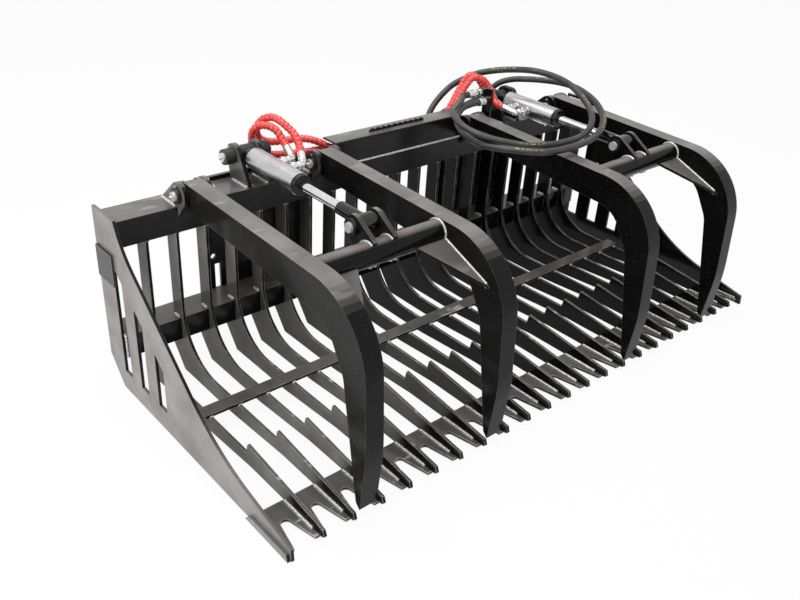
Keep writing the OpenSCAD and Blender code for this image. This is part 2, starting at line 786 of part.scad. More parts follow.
// Catmull-Rom point between p[i] and p[i + 1] at share t
function spline(p, i, t) =
    let(a = p[max(i - 1, 0)], b = p[i], c = p[i + 1], d = p[min(i + 2, len(p) - 1)])
    (2 * b + (c - a) * t + (2 * a - 5 * b + 4 * c - d) * t ^ 2
        + (3 * b - a - 3 * c + d) * t ^ 3) / 2;
spline_n = 8;
function smooth_line(p) = concat(
    [for (i = [0:len(p) - 2]) for (j = [0:spline_n - 1]) spline(p, i, j / spline_n)],
    [p[len(p) - 1]]);
function lengths(p, i = 0, s = 0, out = []) =
    i >= len(p) ? out : lengths(p, i + 1, i + 1 < len(p) ? s + norm(p[i + 1] - p[i]) : s,
        concat(out, [s]));
// Point on the line p at length s, where l holds the running lengths
function at_length(p, l, s) =
    let(k = [for (i = [0:len(p) - 2]) if (l[i + 1] >= s || i == len(p) - 2) i][0],
        t = (s - l[k]) / (l[k + 1] - l[k])) p[k] + (p[k + 1] - p[k]) * t;
function spaced(p, n) =
    let(l = lengths(p), total = l[len(l) - 1]) [for (i = [0:n]) at_length(p, l, total * i / n)];
// Directions and steady side vectors along a line
function heading(p, i) = unit(p[min(i + 1, len(p) - 1)] - p[max(i - 1, 0)]);
function carry(n, t) = unit(n - t * (n * t));
function sides(p, i = 0, n = [0.31, 0.22, 0.93], out = []) =
    i >= len(p) ? out : let(m = carry(n, heading(p, i))) sides(p, i + 1, m, concat(out, [m]));
function ring(c, t, n, r, k) =
    let(b = cross(t, n)) [for (j = [0:k - 1]) c + r * (n * cos(360 * j / k) + b * sin(360 * j / k))];
// Triangles of the wall between two rings of k points that start at a and b
function wall(a, b, k) = [for (j = [0:k - 1]) each [[a + j, b + j, b + (j + 1) % k],
    [a + j, b + (j + 1) % k, a + (j + 1) % k]]];
function cap(a, k, flip) = [for (j = [1:k - 2]) flip ? [a, a + j + 1, a + j] : [a, a + j, a + j + 1]];
tube_sides = 8;
// Plain round hose along the line p
module hose(p, r) {
    n = sides(p);
    k = tube_sides;
    m = len(p);
    polyhedron([for (i = [0:m - 1]) each ring(p[i], heading(p, i), n[i], r, k)],
        concat(cap(0, k, false), [for (i = [0:m - 2]) each wall(k * i, k * (i + 1), k)],
            cap(k * (m - 1), k, true)));
}
// Hose with round beads and a bore, along the line p, its ends plain for one bead
module beaded_hose(p, od, bore) {
    l = lengths(p);
    beads = floor(l[len(l) - 1] / bead_pitch);
    q = spaced(p, 2 * beads);
    n = sides(q);
    k = tube_sides;
    m = len(q);
    groove_share = 0.80;
    bore_step = 2;
    inner = [for (i = [0:bore_step:m - 1]) i];
    o = m * k;
    polyhedron(concat(
        [for (i = [0:m - 1]) each ring(q[i], heading(q, i), n[i],
            (i < 3 || i > m - 4 || i % 2 == 0 ? groove_share : 1) * od / 2, k)],
        [for (i = inner) each ring(q[i], heading(q, i), n[i], bore / 2, k)]),
        concat([for (i = [0:m - 2]) each wall(k * i, k * (i + 1), k)],
            [for (i = [0:len(inner) - 2]) for (f = wall(o + k * i, o + k * (i + 1), k))
                [f.x, f.z, f.y]],
            [for (f = wall(o, 0, k)) f],
            [for (f = wall(k * (m - 1), o + k * (len(inner) - 1), k)) f]));
}

// Routes of the guarded hoses of the left cylinder as [x, d, z], from the ferrule to the cover
left_route_1 = [[-407, 46, 611], [-416, 31, 620], [-428, 15, 623], [-439, 0, 617], [-446, -13, 601],
    [-445, -22, 582], [-439, -28, 559], [-432, -36, 540], [-418, -38, 526], [-396, -32, 519],
    [-370, -16, 518], [-340, 0, 520], [-310, 14, 522], [-282, 24, 523], [-258, 28, 524],
    [-241, 31, 520], [-226, 38, 514], [-208, 45, 509], [-188, 52, 507]];
left_route_2 = [[-378, 90, 606], [-382, 66, 620], [-391, 41, 634], [-400, 17, 640], [-411, -4, 634],
    [-418, -22, 619], [-420, -35, 599], [-414, -43, 578], [-400, -46, 560], [-378, -45, 549],
    [-352, -38, 546], [-326, -26, 549], [-301, -8, 554], [-282, 14, 556], [-266, 30, 552],
    [-252, 42, 545], [-237, 49, 536], [-216, 58, 530]];
right_route_1 = [[389, 50, 613], [377, 37, 636], [368, 27, 648], [357, 18, 652], [345, 10, 642],
    [330, 7, 619], [309, 9, 594], [290, 14, 574], [274, 18, 560], [261, 18, 542], [248, 20, 528],
    [233, 26, 515], [212, 40, 508], [188, 50, 506]];
right_route_2 = [[387, 104, 589], [388, 90, 604], [385, 75, 624], [371, 65, 643], [354, 53, 652],
    [338, 42, 649], [322, 38, 632], [302, 40, 613], [283, 44, 593], [266, 49, 573], [257, 46, 553],
    [248, 45, 540], [236, 46, 531], [217, 56, 526], [194, 67, 524]];
module guarded(g, routes) {
    color(red_guard) for (i = [0, 1]) {
        a = world(ferrule_at(g, i, ferrule_l + hex_l + hose_gap));
        b = world(ferrule_at(g, i, ferrule_l + hex_l + guard_od));
        beaded_hose(smooth_line(concat([a, b], [for (p = routes[i]) world(p)])), guard_od, guard_bore);
    }
}
module left_red_hoses() { guarded(-1, [left_route_1, left_route_2]); }
module right_red_hoses() { guarded(1, [right_route_1, right_route_2]); }

// Routes of the two feed hoses as [x, d, z], from the ferrule at the tee to the coupler
feed_route_a = [[286, 80, 614], [262, 80, 614], [234, 104, 612], [148, 156, 610], [120, 188, 608],
    [94, 240, 602], [92, 280, 594], [104, 318, 587], [128, 358, 580], [170, 408, 574],
    [200, 432, 572], [262, 454, 571], [322, 462, 571], [380, 462, 574], [428, 452, 584],
    [464, 434, 598], [498, 402, 612], [514, 370, 628], [524, 332, 644], [542, 268, 660],
    [550, 196, 666], [534, 128, 668], [488, 86, 668], [446, 48, 662], [404, 6, 648],
    [360, -22, 626], [326, -32, 610], [296, -34, 592], [264, -34, 568], [236, -30, 542],
    [216, -22, 514], [204, -18, 490], [200, -16, 470], [200, -16, 446]];
feed_route_b = [[317, 100, 590], [290, 100, 590], [238, 108, 586], [178, 146, 574], [136, 206, 562],
    [112, 284, 558], [106, 346, 562], [128, 416, 570], [182, 486, 574], [274, 502, 572],
    [368, 496, 573], [442, 480, 582], [496, 452, 596], [538, 412, 608], [572, 360, 620],
    [592, 304, 630], [608, 240, 634], [610, 180, 632], [598, 124, 627], [578, 70, 620],
    [556, 24, 611], [532, -8, 596], [506, -26, 572], [474, -32, 553], [434, -32, 541],
    [392, -30, 534], [350, -28, 531], [312, -26, 531], [282, -22, 527], [261, -18, 513],
    [252, -16, 494], [250, -16, 474], [250, -16, 440]];
feed_rings = 38;
// Rings of a feed hose, with a straight stretch at both ends
function feed_line(r) =
    let(w = [for (p = r) world(p)], n = len(w))
    concat([w[0]], spaced(smooth_line([for (i = [1:n - 2]) w[i]]), feed_rings), [w[n - 1]]);
module feed_hose_a() { color(rubber) hose(feed_line(feed_route_a), feed_od / 2); }
module feed_hose_b() { color(rubber) hose(feed_line(feed_route_b), feed_od / 2); }
// Length of a route
function route_l(r) = let(l = lengths(smooth_line([for (p = r) world(p)]))) l[len(l) - 1];
echo(feed_a_length = route_l(feed_route_a), feed_b_length = route_l(feed_route_b));
echo(cylinder_length = cyl_l, cylinder_angle = cyl_a);

feed_ferrule_l = 26;
feed_ferrule_d = 24;
module feed_ferrules() {
    color(zinc) for (r = [feed_route_a, feed_route_b])
        translate(world(r[0])) rotate([0, 90, 0]) cylinder(d = feed_ferrule_d, h = feed_ferrule_l);
}
// Tees on a post that stands on the top beam
module feed_tees() {
    color(zinc) for (r = [feed_route_a, feed_route_b]) {
        x = r[0].x + feed_ferrule_l;
        translate(world([x, r[0].y, r[0].z])) rotate([0, 90, 0])
            cylinder(d = hex_d, h = tee_x - x, $fn = 6);
        block([tee_x, r[0].y - tee_w / 2, r[0].z - tee_w / 2],
            [tee_x + tee_w, r[0].y + tee_w / 2, r[0].z + tee_w / 2]);
    }
    mid = (feed_route_a[0].y + feed_route_b[0].y) / 2;
    color(black_paint) block([tee_x + tee_w, mid - tee_post_w / 2, top_beam_z],
        [tee_x + tee_w + tee_post_t, mid + tee_post_w / 2, feed_route_a[0].z + tee_w / 2]);
}
coupler_l = 68;
coupler_d = 30;
nipple_d = 21;
socket_l = 30;
// Coupler at p, on the side of the hose's end: a nipple, or a sleeve with a socket
module coupler(p, female) {
    half = coupler_l / 2;
    color(zinc) translate(world(p)) rotate([180, 0, 0]) difference() {
        union() {
            cylinder(d = feed_ferrule_d, h = half);
            translate([0, 0, half]) cylinder(d = female ? coupler_d : nipple_d, h = half);
        }
        if (female) translate([0, 0, coupler_l - socket_l])
            cylinder(d = nipple_d + 2 * pin_clear, h = socket_l + over);
    }
}
module coupler_male() { coupler(feed_route_a[len(feed_route_a) - 1], false); }
module coupler_female() { coupler(feed_route_b[len(feed_route_b) - 1], true); }

side_plate_left();
side_plate_right();
wear_strips();
badge_plate();
tine_pair(1);  // tine_pair_01
tine_pair(2);  // tine_pair_02
tine_pair(3);  // tine_pair_03
tine_pair(4);  // tine_pair_04
tine_pair(5);  // tine_pair_05
tine_pair(6);  // tine_pair_06
tine_pair(7);  // tine_pair_07
tine_pair(8);  // tine_pair_08
tine_pair(9);  // tine_pair_09
tine_pair(10);  // tine_pair_10
tine_centre();
cutting_edge();
cross_bar();
lower_beam();
top_beam();
centre_cover();
step_grip();
mount_plate_left();
mount_plate_right();
hinge_lugs();
cylinder_brackets();
pivot_pins();
pin_bolts();
feed_tees();
left_arm_outer();
left_arm_inner();
left_cross_tube();
left_gussets();
left_clevis();
left_clevis_pin();
right_arm_outer();
right_arm_inner();
right_cross_tube();
right_gussets();
right_clevis();
right_clevis_pin();
left_barrel();
left_gland();
left_rod();
left_piston();
left_fittings();
right_barrel();
right_gland();
right_rod();
right_piston();
right_fittings();
left_red_hoses();
right_red_hoses();
feed_hose_a();
feed_hose_b();
feed_ferrules();
coupler_male();
coupler_female();
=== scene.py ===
"""Dresses the grapple bucket: studio, paint, steel, hoses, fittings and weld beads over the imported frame."""

import json
import logging
import math
from dataclasses import dataclass
from enum import Enum
from typing import Callable, ClassVar, Iterable, Sequence

import bpy
from mathutils import Matrix, Vector

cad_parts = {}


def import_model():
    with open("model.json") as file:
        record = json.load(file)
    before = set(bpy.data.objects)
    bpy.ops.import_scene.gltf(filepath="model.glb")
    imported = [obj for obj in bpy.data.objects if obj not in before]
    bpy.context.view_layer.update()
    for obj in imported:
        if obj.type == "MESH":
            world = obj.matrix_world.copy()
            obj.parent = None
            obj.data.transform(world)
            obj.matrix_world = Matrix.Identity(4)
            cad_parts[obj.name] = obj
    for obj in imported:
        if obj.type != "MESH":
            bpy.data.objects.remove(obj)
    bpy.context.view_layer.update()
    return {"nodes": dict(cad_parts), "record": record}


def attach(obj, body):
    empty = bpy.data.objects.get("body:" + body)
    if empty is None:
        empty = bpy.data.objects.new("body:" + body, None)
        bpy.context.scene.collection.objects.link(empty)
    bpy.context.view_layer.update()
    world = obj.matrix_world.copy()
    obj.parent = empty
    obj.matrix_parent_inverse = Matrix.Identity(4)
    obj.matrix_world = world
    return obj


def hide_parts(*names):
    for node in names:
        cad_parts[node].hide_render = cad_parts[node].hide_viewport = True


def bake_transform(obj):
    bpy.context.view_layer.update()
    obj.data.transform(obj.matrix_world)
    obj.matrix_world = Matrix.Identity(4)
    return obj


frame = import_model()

logging.basicConfig(level=logging.INFO, format="%(message)s")
log = logging.getLogger("grapple_bucket")

Colour = tuple[float, float, float]
Place = tuple[float, float, float]
Route = Sequence[Place]
Profile = Sequence[tuple[float, float]]
Socket = bpy.types.NodeSocket

MM = 0.001
# Y in millimetres of the side plates' rear edge, which forward distances start from
Y_BACK = 393.0
# Distance from the bucket's middle to a grapple's middle, and from there to each of its arms
GRAPPLE_X = 495.0
ARM_X = 205.0
# Forward distance and height of a cylinder's base pin, and the slope of a shut cylinder
BASE_PIN = (25.0, 562.0)
CYLINDER_TILT = math.radians(-0.674037)

# Hose routes as (x, forward distance, height) in millimetres, the same points that the solids follow
LEFT_ROUTE_1: Route = (
    (-407, 46, 611), (-416, 31, 620), (-428, 15, 623), (-439, 0, 617), (-446, -13, 601),
    (-445, -22, 582), (-439, -28, 559), (-432, -36, 540), (-418, -38, 526), (-396, -32, 519),
    (-370, -16, 518), (-340, 0, 520), (-310, 14, 522), (-282, 24, 523), (-258, 28, 524),
    (-241, 31, 520), (-226, 38, 514), (-208, 45, 509), (-188, 52, 507),
)
LEFT_ROUTE_2: Route = (
    (-378, 90, 606), (-382, 66, 620), (-391, 41, 634), (-400, 17, 640), (-411, -4, 634),
    (-418, -22, 619), (-420, -35, 599), (-414, -43, 578), (-400, -46, 560), (-378, -45, 549),
    (-352, -38, 546), (-326, -26, 549), (-301, -8, 554), (-282, 14, 556), (-266, 30, 552),
    (-252, 42, 545), (-237, 49, 536), (-216, 58, 530),
)
RIGHT_ROUTE_1: Route = (
    (389, 50, 613), (377, 37, 636), (368, 27, 648), (357, 18, 652), (345, 10, 642), (330, 7, 619),
    (309, 9, 594), (290, 14, 574), (274, 18, 560), (261, 18, 542), (248, 20, 528), (233, 26, 515),
    (212, 40, 508), (188, 50, 506),
)
RIGHT_ROUTE_2: Route = (
    (387, 104, 589), (388, 90, 604), (385, 75, 624), (371, 65, 643), (354, 53, 652), (338, 42, 649),
    (322, 38, 632), (302, 40, 613), (283, 44, 593), (266, 49, 573), (257, 46, 553), (248, 45, 540),
    (236, 46, 531), (217, 56, 526), (194, 67, 524),
)
FEED_ROUTE_A: Route = (
    (286, 80, 614), (262, 80, 614), (234, 104, 612), (148, 156, 610), (120, 188, 608), (94, 240, 602),
    (92, 280, 594), (104, 318, 587), (128, 358, 580), (170, 408, 574), (200, 432, 572),
    (262, 454, 571), (322, 462, 571), (380, 462, 574), (428, 452, 584), (464, 434, 598),
    (498, 402, 612), (514, 370, 628), (524, 332, 644), (542, 268, 660), (550, 196, 666),
    (534, 128, 668), (488, 86, 668), (446, 48, 662), (404, 6, 648), (360, -22, 626), (326, -32, 610),
    (296, -34, 592), (264, -34, 568), (236, -30, 542), (216, -22, 514), (204, -18, 490),
    (200, -16, 470), (200, -16, 446),
)
FEED_ROUTE_B: Route = (
    (317, 100, 590), (290, 100, 590), (238, 108, 586), (178, 146, 574), (136, 206, 562),
    (112, 284, 558), (106, 346, 562), (128, 416, 570), (182, 486, 574), (274, 502, 572),
    (368, 496, 573), (442, 480, 582), (496, 452, 596), (538, 412, 608), (572, 360, 620),
    (592, 304, 630), (608, 240, 634), (610, 180, 632), (598, 124, 627), (578, 70, 620), (556, 24, 611),
    (532, -8, 596), (506, -26, 572), (474, -32, 553), (434, -32, 541), (392, -30, 534),
    (350, -28, 531), (312, -26, 531), (282, -22, 527), (261, -18, 513), (252, -16, 494),
    (250, -16, 474), (250, -16, 440),
)


class Side(Enum):
    """The two grapples, with the sign of their place along X."""

    LEFT = -1
    RIGHT = 1

    @property
    def word(self) -> str:
        """The side's name as the bodies and nodes use it."""
        return self.name.lower()


def world(x: float, d: float, z: float) -> Vector:
    """Turns a place given as x, forward distance and height in millimetres into metres in the row frame.

    Args:
        x: Distance to the right of the middle.
        d: Distance forward of the side plates' rear edge.
        z: Height above the floor plane.

    Returns:
        The same place as a vector in metres.
    """
    return Vector((x, Y_BACK - d, z)) * MM


# Finishes


class Shading:
    """The node tree of one material, with short calls for the nodes that the finishes use."""

    bevel_samples = 4

    def __init__(self, name: str) -> None:
        """Starts a material with a Principled shader.

        Args:
            name: The material's name.
        """
        self.material = bpy.data.materials.new(name)
        self.material.use_nodes = True
        self.tree = self.material.node_tree
        self.shader = self.tree.nodes["Principled BSDF"]
        places = self.tree.nodes.new("ShaderNodeTexCoord")
        self.place = places.outputs["Object"]
        self.facing = places.outputs["Normal"]

    def set(self, **sockets: object) -> None:
        """Sets constants on the shader's sockets, named with underscores for spaces."""
        for name, value in sockets.items():
            self.shader.inputs[name.replace("_", " ")].default_value = value

    def link(self, output: Socket, socket: str) -> None:
        """Links an output to one of the shader's sockets."""
        self.tree.links.new(output, self.shader.inputs[socket])

    def feed(self, value: object, socket: Socket) -> None:
        """Gives a node's input its value.

        Args:
            value: A socket to link, or a plain value to set.
            socket: The input.
        """
        if isinstance(value, Socket):
            self.tree.links.new(value, socket)
        else:
            socket.default_value = value

    def part(self, vector: Socket, axis: str) -> Socket:
        """Splits one coordinate off a vector.

        Args:
            vector: The vector's socket.
            axis: The coordinate's letter.

        Returns:
            The coordinate's socket.
        """
        node = self.tree.nodes.new("ShaderNodeSeparateXYZ")
        self.tree.links.new(vector, node.inputs[0])
        return node.outputs[axis]

    def sum(self, operation: str, a: object, b: object = 0.0) -> Socket:
        """Adds one maths node.

        Args:
            operation: The node's operation.
            a: First number or socket.
            b: Second number or socket, which some operations leave unused.

        Returns:
            The result's socket.
        """
        node = self.tree.nodes.new("ShaderNodeMath")
        node.operation = operation
        self.feed(a, node.inputs[0])
        self.feed(b, node.inputs[1])
        return node.outputs[0]

    def squares(self, a: Socket, b: Socket) -> Socket:
        """Returns the sum of two values' squares."""
        return self.sum("ADD", self.sum("MULTIPLY", a, a), self.sum("MULTIPLY", b, b))

    def near_axis(self, y: float, z: float, reach: float) -> Socket:
        """Marks what lies near a line along X.

        Args:
            y: The line's place along Y in metres.
            z: The line's height in metres.
            reach: Distance from the line in metres.

        Returns:
            A socket that is 1 within the reach and 0 beyond it.
        """
        dy = self.sum("SUBTRACT", self.part(self.place, "Y"), y)
        dz = self.sum("SUBTRACT", self.part(self.place, "Z"), z)
        return self.sum("LESS_THAN", self.squares(dy, dz), reach * reach)

    def stretched(self, scale: tuple[float, float, float]) -> Socket:
        """Stretches the object coordinates.

        Args:
            scale: Scale along each axis.

        Returns:
            The stretched coordinates' socket.
        """
        node = self.tree.nodes.new("ShaderNodeMapping")
        node.inputs["Scale"].default_value = scale
        self.tree.links.new(self.place, node.inputs["Vector"])
        return node.outputs["Vector"]

    def noise(self, scale: float, detail: float = 3.0, at: Socket | None = None) -> Socket:
        """Adds a noise texture.

        Args:
            scale: Number of features in a metre.
            detail: Number of octaves.
            at: Coordinates, or the object's own when left out.

        Returns:
            The noise value's socket.
        """
        node = self.tree.nodes.new("ShaderNodeTexNoise")
        node.inputs["Scale"].default_value = scale
        node.inputs["Detail"].default_value = detail
        self.tree.links.new(at or self.place, node.inputs["Vector"])
        return node.outputs["Fac"]

    def spread(self, value: Socket, low: float, high: float, a: float = 0.3, b: float = 0.7) -> Socket:
        """Maps one range of a value to another.

        Args:
            value: The value's socket.
            low: Result at a and before it.
            high: Result at b and beyond it.
            a: Value where the range starts.
            b: Value where it ends.

        Returns:
            The result's socket.
        """
        node = self.tree.nodes.new("ShaderNodeMapRange")
        for name, number in (("From Min", a), ("From Max", b), ("To Min", low), ("To Max", high)):
            node.inputs[name].default_value = number
        self.tree.links.new(value, node.inputs["Value"])
        return node.outputs["Result"]

    def blend(self, factor: Socket, a: Colour | Socket, b: Colour | Socket) -> Socket:
        """Mixes two colours, each a plain colour or a socket.

        Args:
            factor: Share of the second colour.
            a: First colour.
            b: Second colour.

        Returns:
            The mixed colour's socket.
        """
        node = self.tree.nodes.new("ShaderNodeMix")
        node.data_type = "RGBA"
        self.tree.links.new(factor, node.inputs[0])
        for socket, value in ((node.inputs[6], a), (node.inputs[7], b)):
            self.feed(value if isinstance(value, Socket) else (*value, 1.0), socket)
        return node.outputs[2]

    def softened(self, radius: float) -> Socket:
        """Softens the surface normal at edges.

        Args:
            radius: Radius of the softened edges in metres.

        Returns:
            The normal's socket.
        """
        bevel = self.tree.nodes.new("ShaderNodeBevel")
        bevel.samples = self.bevel_samples
        bevel.inputs["Radius"].default_value = radius
        return bevel.outputs["Normal"]

    def rim(self, radius: float) -> Socket:
        """Measures how near a point lies to an edge of its piece, from the turn of a softened normal.

        Args:
            radius: Distance from the edge in metres at which it starts to count.

        Returns:
            A socket that goes from 0 on a flat face to 1 on an edge.
        """
        plain = self.tree.nodes.new("ShaderNodeNewGeometry")
        turn = self.tree.nodes.new("ShaderNodeVectorMath")
        turn.operation = "DOT_PRODUCT"
        self.tree.links.new(self.softened(radius), turn.inputs[0])
        self.tree.links.new(plain.outputs["Normal"], turn.inputs[1])
        return self.spread(turn.outputs["Value"], 1.0, 0.0, 0.80, 0.97)

    def relief(self, height: Socket, depth: float, strength: float, edge: float = 0.0) -> None:
        """Links a bump to the shader's normal, over softened edges when edge is above nothing.

        Args:
            height: The height's socket.
            depth: Depth of the relief in metres.
            strength: Share of the relief that shows.
            edge: Radius of the softened edges in metres.
        """
        bump = self.tree.nodes.new("ShaderNodeBump")
        bump.inputs["Strength"].default_value = strength
        bump.inputs["Distance"].default_value = depth
        self.tree.links.new(height, bump.inputs["Height"])
        if edge > 0:
            self.tree.links.new(self.softened(edge), bump.inputs["Normal"])
        self.link(bump.outputs["Normal"], "Normal")


@dataclass(frozen=True)
class PowderCoat:
    """Glossy black powder coat with cloudy patches, fine orange peel, dust, worn edges and painted light.

    Upper faces get dust and painted sheen; faces towards the left get painted light, most at the bucket's left end.

    Attributes:
        name: The material's name.
        dark: Colour in the dark clouds of the paint.
        light: Colour in its light clouds.
        dust_and_sheen: Colour of the dust, also used for the painted sheen on upper faces and the painted side light.
        dust_and_sheen_share: Most dust and painted sheen on an upper face.
        side_light_share: Most painted light on a face towards the left, standing in for light from the left.
        side_light_from: Place along Y in metres where that painted light starts.
        roughness: Lowest and highest roughness.
        specular: Level of the paint's reflection.
        coat: Weight of its clear coat.
        wear_and_highlight: Colour of worn edges and scuffs, which on the edges also serves as painted edge highlight.
        edge_wear_and_highlight_share: Most wear and painted highlight on an edge.
        edge_wear_and_highlight_reach: Width of a worn and highlighted edge in metres.
        edge: Radius of a softened edge in metres.
    """

    name: str
    dark: Colour
    light: Colour
    dust_and_sheen: Colour = (0.36, 0.338, 0.322)
    dust_and_sheen_share: float = 0.42
    side_light_share: float = 0.95
    side_light_from: float = -1.0
    roughness: tuple[float, float] = (0.14, 0.26)
    specular: float = 0.26
    coat: float = 0.06
    wear_and_highlight: Colour = (0.34, 0.33, 0.32)
    edge_wear_and_highlight_share: float = 0.5
    edge_wear_and_highlight_reach: float = 0.0022
    edge: float = 0.0012

    def painted_side_light(self, s: Shading) -> Socket:
        """Works out the painted light on the faces towards the left, lightest at the bucket's left end.

        Args:
            s: The material's shading.

        Returns:
            The painted light's share.
        """
        # Painted light: faces towards the left are lightened towards the dust colour, as if lit from the left
        leftward = s.spread(s.part(s.facing, "X"), self.side_light_share, 0.0, -0.95, -0.6)
        left_end = s.spread(s.part(s.place, "X"), 1.0, 0.0, -0.95, -0.1)
        behind = s.spread(s.part(s.place, "Y"), 0.0, 1.0, self.side_light_from, self.side_light_from + 0.06)
        return s.sum("MULTIPLY", s.sum("MULTIPLY", leftward, left_end), behind)

    def material(self) -> bpy.types.Material:
        """Builds the paint.

        Returns:
            The paint's material.
        """
        s = Shading(self.name)
        base = s.blend(s.spread(s.noise(5.0, 4.0), 0.0, 1.0), self.dark, self.light)
        # Upper faces are lightened by dust and painted sheen together
        upward = s.spread(s.part(s.facing, "Z"), 0.0, 1.0, 0.78, 0.98)
        patches = s.spread(s.noise(9.0, 6.0), 0.6, 1.0, 0.35, 0.65)
        # Share of dust and painted light: painted sheen on upper faces, painted side light on faces towards the left
        share = s.sum("MAXIMUM", s.sum("MULTIPLY", upward, self.dust_and_sheen_share), self.painted_side_light(s))
        dusted_and_lit = s.blend(s.sum("MULTIPLY", share, patches), base, self.dust_and_sheen)
        specks = s.spread(s.noise(420.0, 2.0), 0.0, 0.35, 0.66, 0.78)
        marked = s.blend(specks, dusted_and_lit, self.dust_and_sheen)
        scratches = s.spread(s.noise(1.0, 5.0, s.stretched((9.0, 30.0, 9.0))), 0.0, 0.5, 0.62, 0.70)
        scuffed = s.blend(scratches, marked, self.wear_and_highlight)
        # Light edges: wear and painted edge highlights together
        edge_wear_and_glint = s.spread(s.noise(30.0, 3.0), 0.2, self.edge_wear_and_highlight_share, 0.35, 0.65)
        edge = s.sum("MULTIPLY", s.rim(self.edge_wear_and_highlight_reach), edge_wear_and_glint)
        s.link(s.blend(edge, s.blend(upward, marked, scuffed), self.wear_and_highlight), "Base Color")
        s.link(s.spread(s.noise(14.0, 5.0), *self.roughness), "Roughness")
        s.set(Specular_IOR_Level=self.specular, Coat_Weight=self.coat, Coat_Roughness=0.06)
        s.relief(s.noise(260.0, 2.0), 0.0005, 0.06, self.edge)
        return s.material


@dataclass(frozen=True)
class TurnedSteel:
    """Bare, plated or polished metal with fine turning marks, and black paint over part of the piece.

    Attributes:
        name: The material's name.
        colour: Colour of most of the metal.
        tint: Colour of its darker clouds.
        roughness: Lowest and highest roughness.
        grain: Strength of the turning marks.
        edge: Radius of a softened edge in metres.
        painted_y: Span along Y in metres that is painted, or none.
        bare_axes: Lines along X, as Y and Z in metres, round which a piece painted elsewhere stays bare.
        bare_reach: Distance from those lines in metres that stays bare.
        paint: Colour of the paint.
        metallic: How metallic the bare part is.
    """

    name: str
    colour: Colour
    tint: Colour
    roughness: tuple[float, float]
    grain: float = 0.12
    edge: float = 0.0006
    painted_y: tuple[float, float] | None = None
    bare_axes: tuple[tuple[float, float], ...] = ()
    bare_reach: float = 0.0128
    paint: Colour = (0.006, 0.006, 0.006)
    metallic: float = 1.0

    def painted(self, s: Shading) -> Socket | None:
        """Works out where the black paint is.

        Args:
            s: The material's shading.

        Returns:
            The paint's share, or nothing for a piece that is bare all over.
        """
        if self.painted_y:
            y, (low, high) = s.part(s.place, "Y"), self.painted_y
            return s.sum("MULTIPLY", s.sum("GREATER_THAN", y, low), s.sum("LESS_THAN", y, high))
        if self.bare_axes:
            bare = s.near_axis(*self.bare_axes[0], self.bare_reach)
            for axis in self.bare_axes[1:]:
                bare = s.sum("MAXIMUM", bare, s.near_axis(*axis, self.bare_reach))
            return s.sum("SUBTRACT", 1.0, bare)
        return None

    def material(self) -> bpy.types.Material:
        """Builds the metal.

        Returns:
            The metal's material.
        """
        s = Shading(self.name)
        colour = s.blend(s.spread(s.noise(40.0, 4.0), 0.0, 1.0), self.colour, self.tint)
        rough = s.spread(s.noise(1.0, 3.0, s.stretched((160.0, 900.0, 160.0))), *self.roughness)
        share = self.painted(s)
        if share:
            colour = s.blend(share, colour, self.paint)
            s.link(s.spread(share, self.metallic, 0.0), "Metallic")
        else:
            s.set(Metallic=self.metallic)
        s.link(colour, "Base Color")
        s.link(rough, "Roughness")
        s.relief(s.noise(1.0, 2.0, s.stretched((220.0, 1400.0, 220.0))), 0.0002, self.grain, self.edge)
        return s.material


@dataclass(frozen=True)
class Badge:
    """Bare badge: a raised rim round a plain sunk panel with one round boss.

    Attributes:
        name: The material's name.
        rim: Width of the rim in metres.
        panel: Depth of the panel in metres.
        boss: Inner and outer radius of the boss in metres.
        slope: Width of each raised part's edge in metres.
        sunk: Colour of the panel.
        raised: Colour of the rim and the boss.
    """

    name: str = "badge"
    rim: float = 0.006
    panel: float = 0.0014
    boss: tuple[float, float] = (0.011, 0.015)
    slope: float = 0.001
    sunk: Colour = (0.0035, 0.0035, 0.0035)
    raised: Colour = (0.03, 0.03, 0.03)

    def material(self) -> bpy.types.Material:
        """Builds the badge, its relief placed from the badge plate's own box.

        Returns:
            The badge's material.
        """
        s = Shading(self.name)
        spots = [v.co for v in frame["nodes"]["badge_plate"].data.vertices]
        low, high = [Vector(f(v[i] for v in spots) for i in range(3)) for f in (min, max)]
        middle, half = (low + high) / 2, (high.y - low.y) / 2
        dy = s.sum("SUBTRACT", s.part(s.place, "Y"), middle.y)
        dz = s.sum("SUBTRACT", s.part(s.place, "Z"), middle.z)
        edge = s.sum("MAXIMUM", s.sum("ABSOLUTE", dy), s.sum("ABSOLUTE", dz))
        away = s.sum("SQRT", s.squares(dy, dz))
        inner, outer = self.boss
        past_inner = s.spread(away, 0.0, 1.0, inner - self.slope, inner)
        boss = s.sum("MULTIPLY", past_inner, s.spread(away, 1.0, 0.0, outer, outer + self.slope))
        rim = s.spread(edge, 0.0, 1.0, half - self.rim - self.slope, half - self.rim)
        shape = s.sum("MAXIMUM", rim, boss)
        s.link(s.blend(shape, self.sunk, self.raised), "Base Color")
        s.set(Roughness=0.3, Specular_IOR_Level=0.6)
        s.relief(shape, self.panel, 1.0)
        return s.material


@dataclass(frozen=True)
class PaintedHighlightWeld:
    """Weld bead under the paint, brighter and rougher than the plates beside it; its near-white colour is a painted
    highlight.
    """

    name: str = "weld_bead_highlight"
    # Near-white colours: painted highlight on a bead that is painted black like the plates
    dark: Colour = (0.50, 0.49, 0.48)
    light: Colour = (0.90, 0.89, 0.87)

    def material(self) -> bpy.types.Material:
        """Builds the bead's metal.

        Returns:
            The bead's material.
        """
        s = Shading(self.name)
        s.link(s.blend(s.spread(s.noise(180.0, 3.0), 0.0, 1.0, 0.45, 0.7), self.dark, self.light), "Base Color")
        s.set(Metallic=0.3, Roughness=0.22, Coat_Weight=0.6, Coat_Roughness=0.05)
        s.relief(s.noise(700.0, 2.0), 0.0004, 0.25)
        return s.material


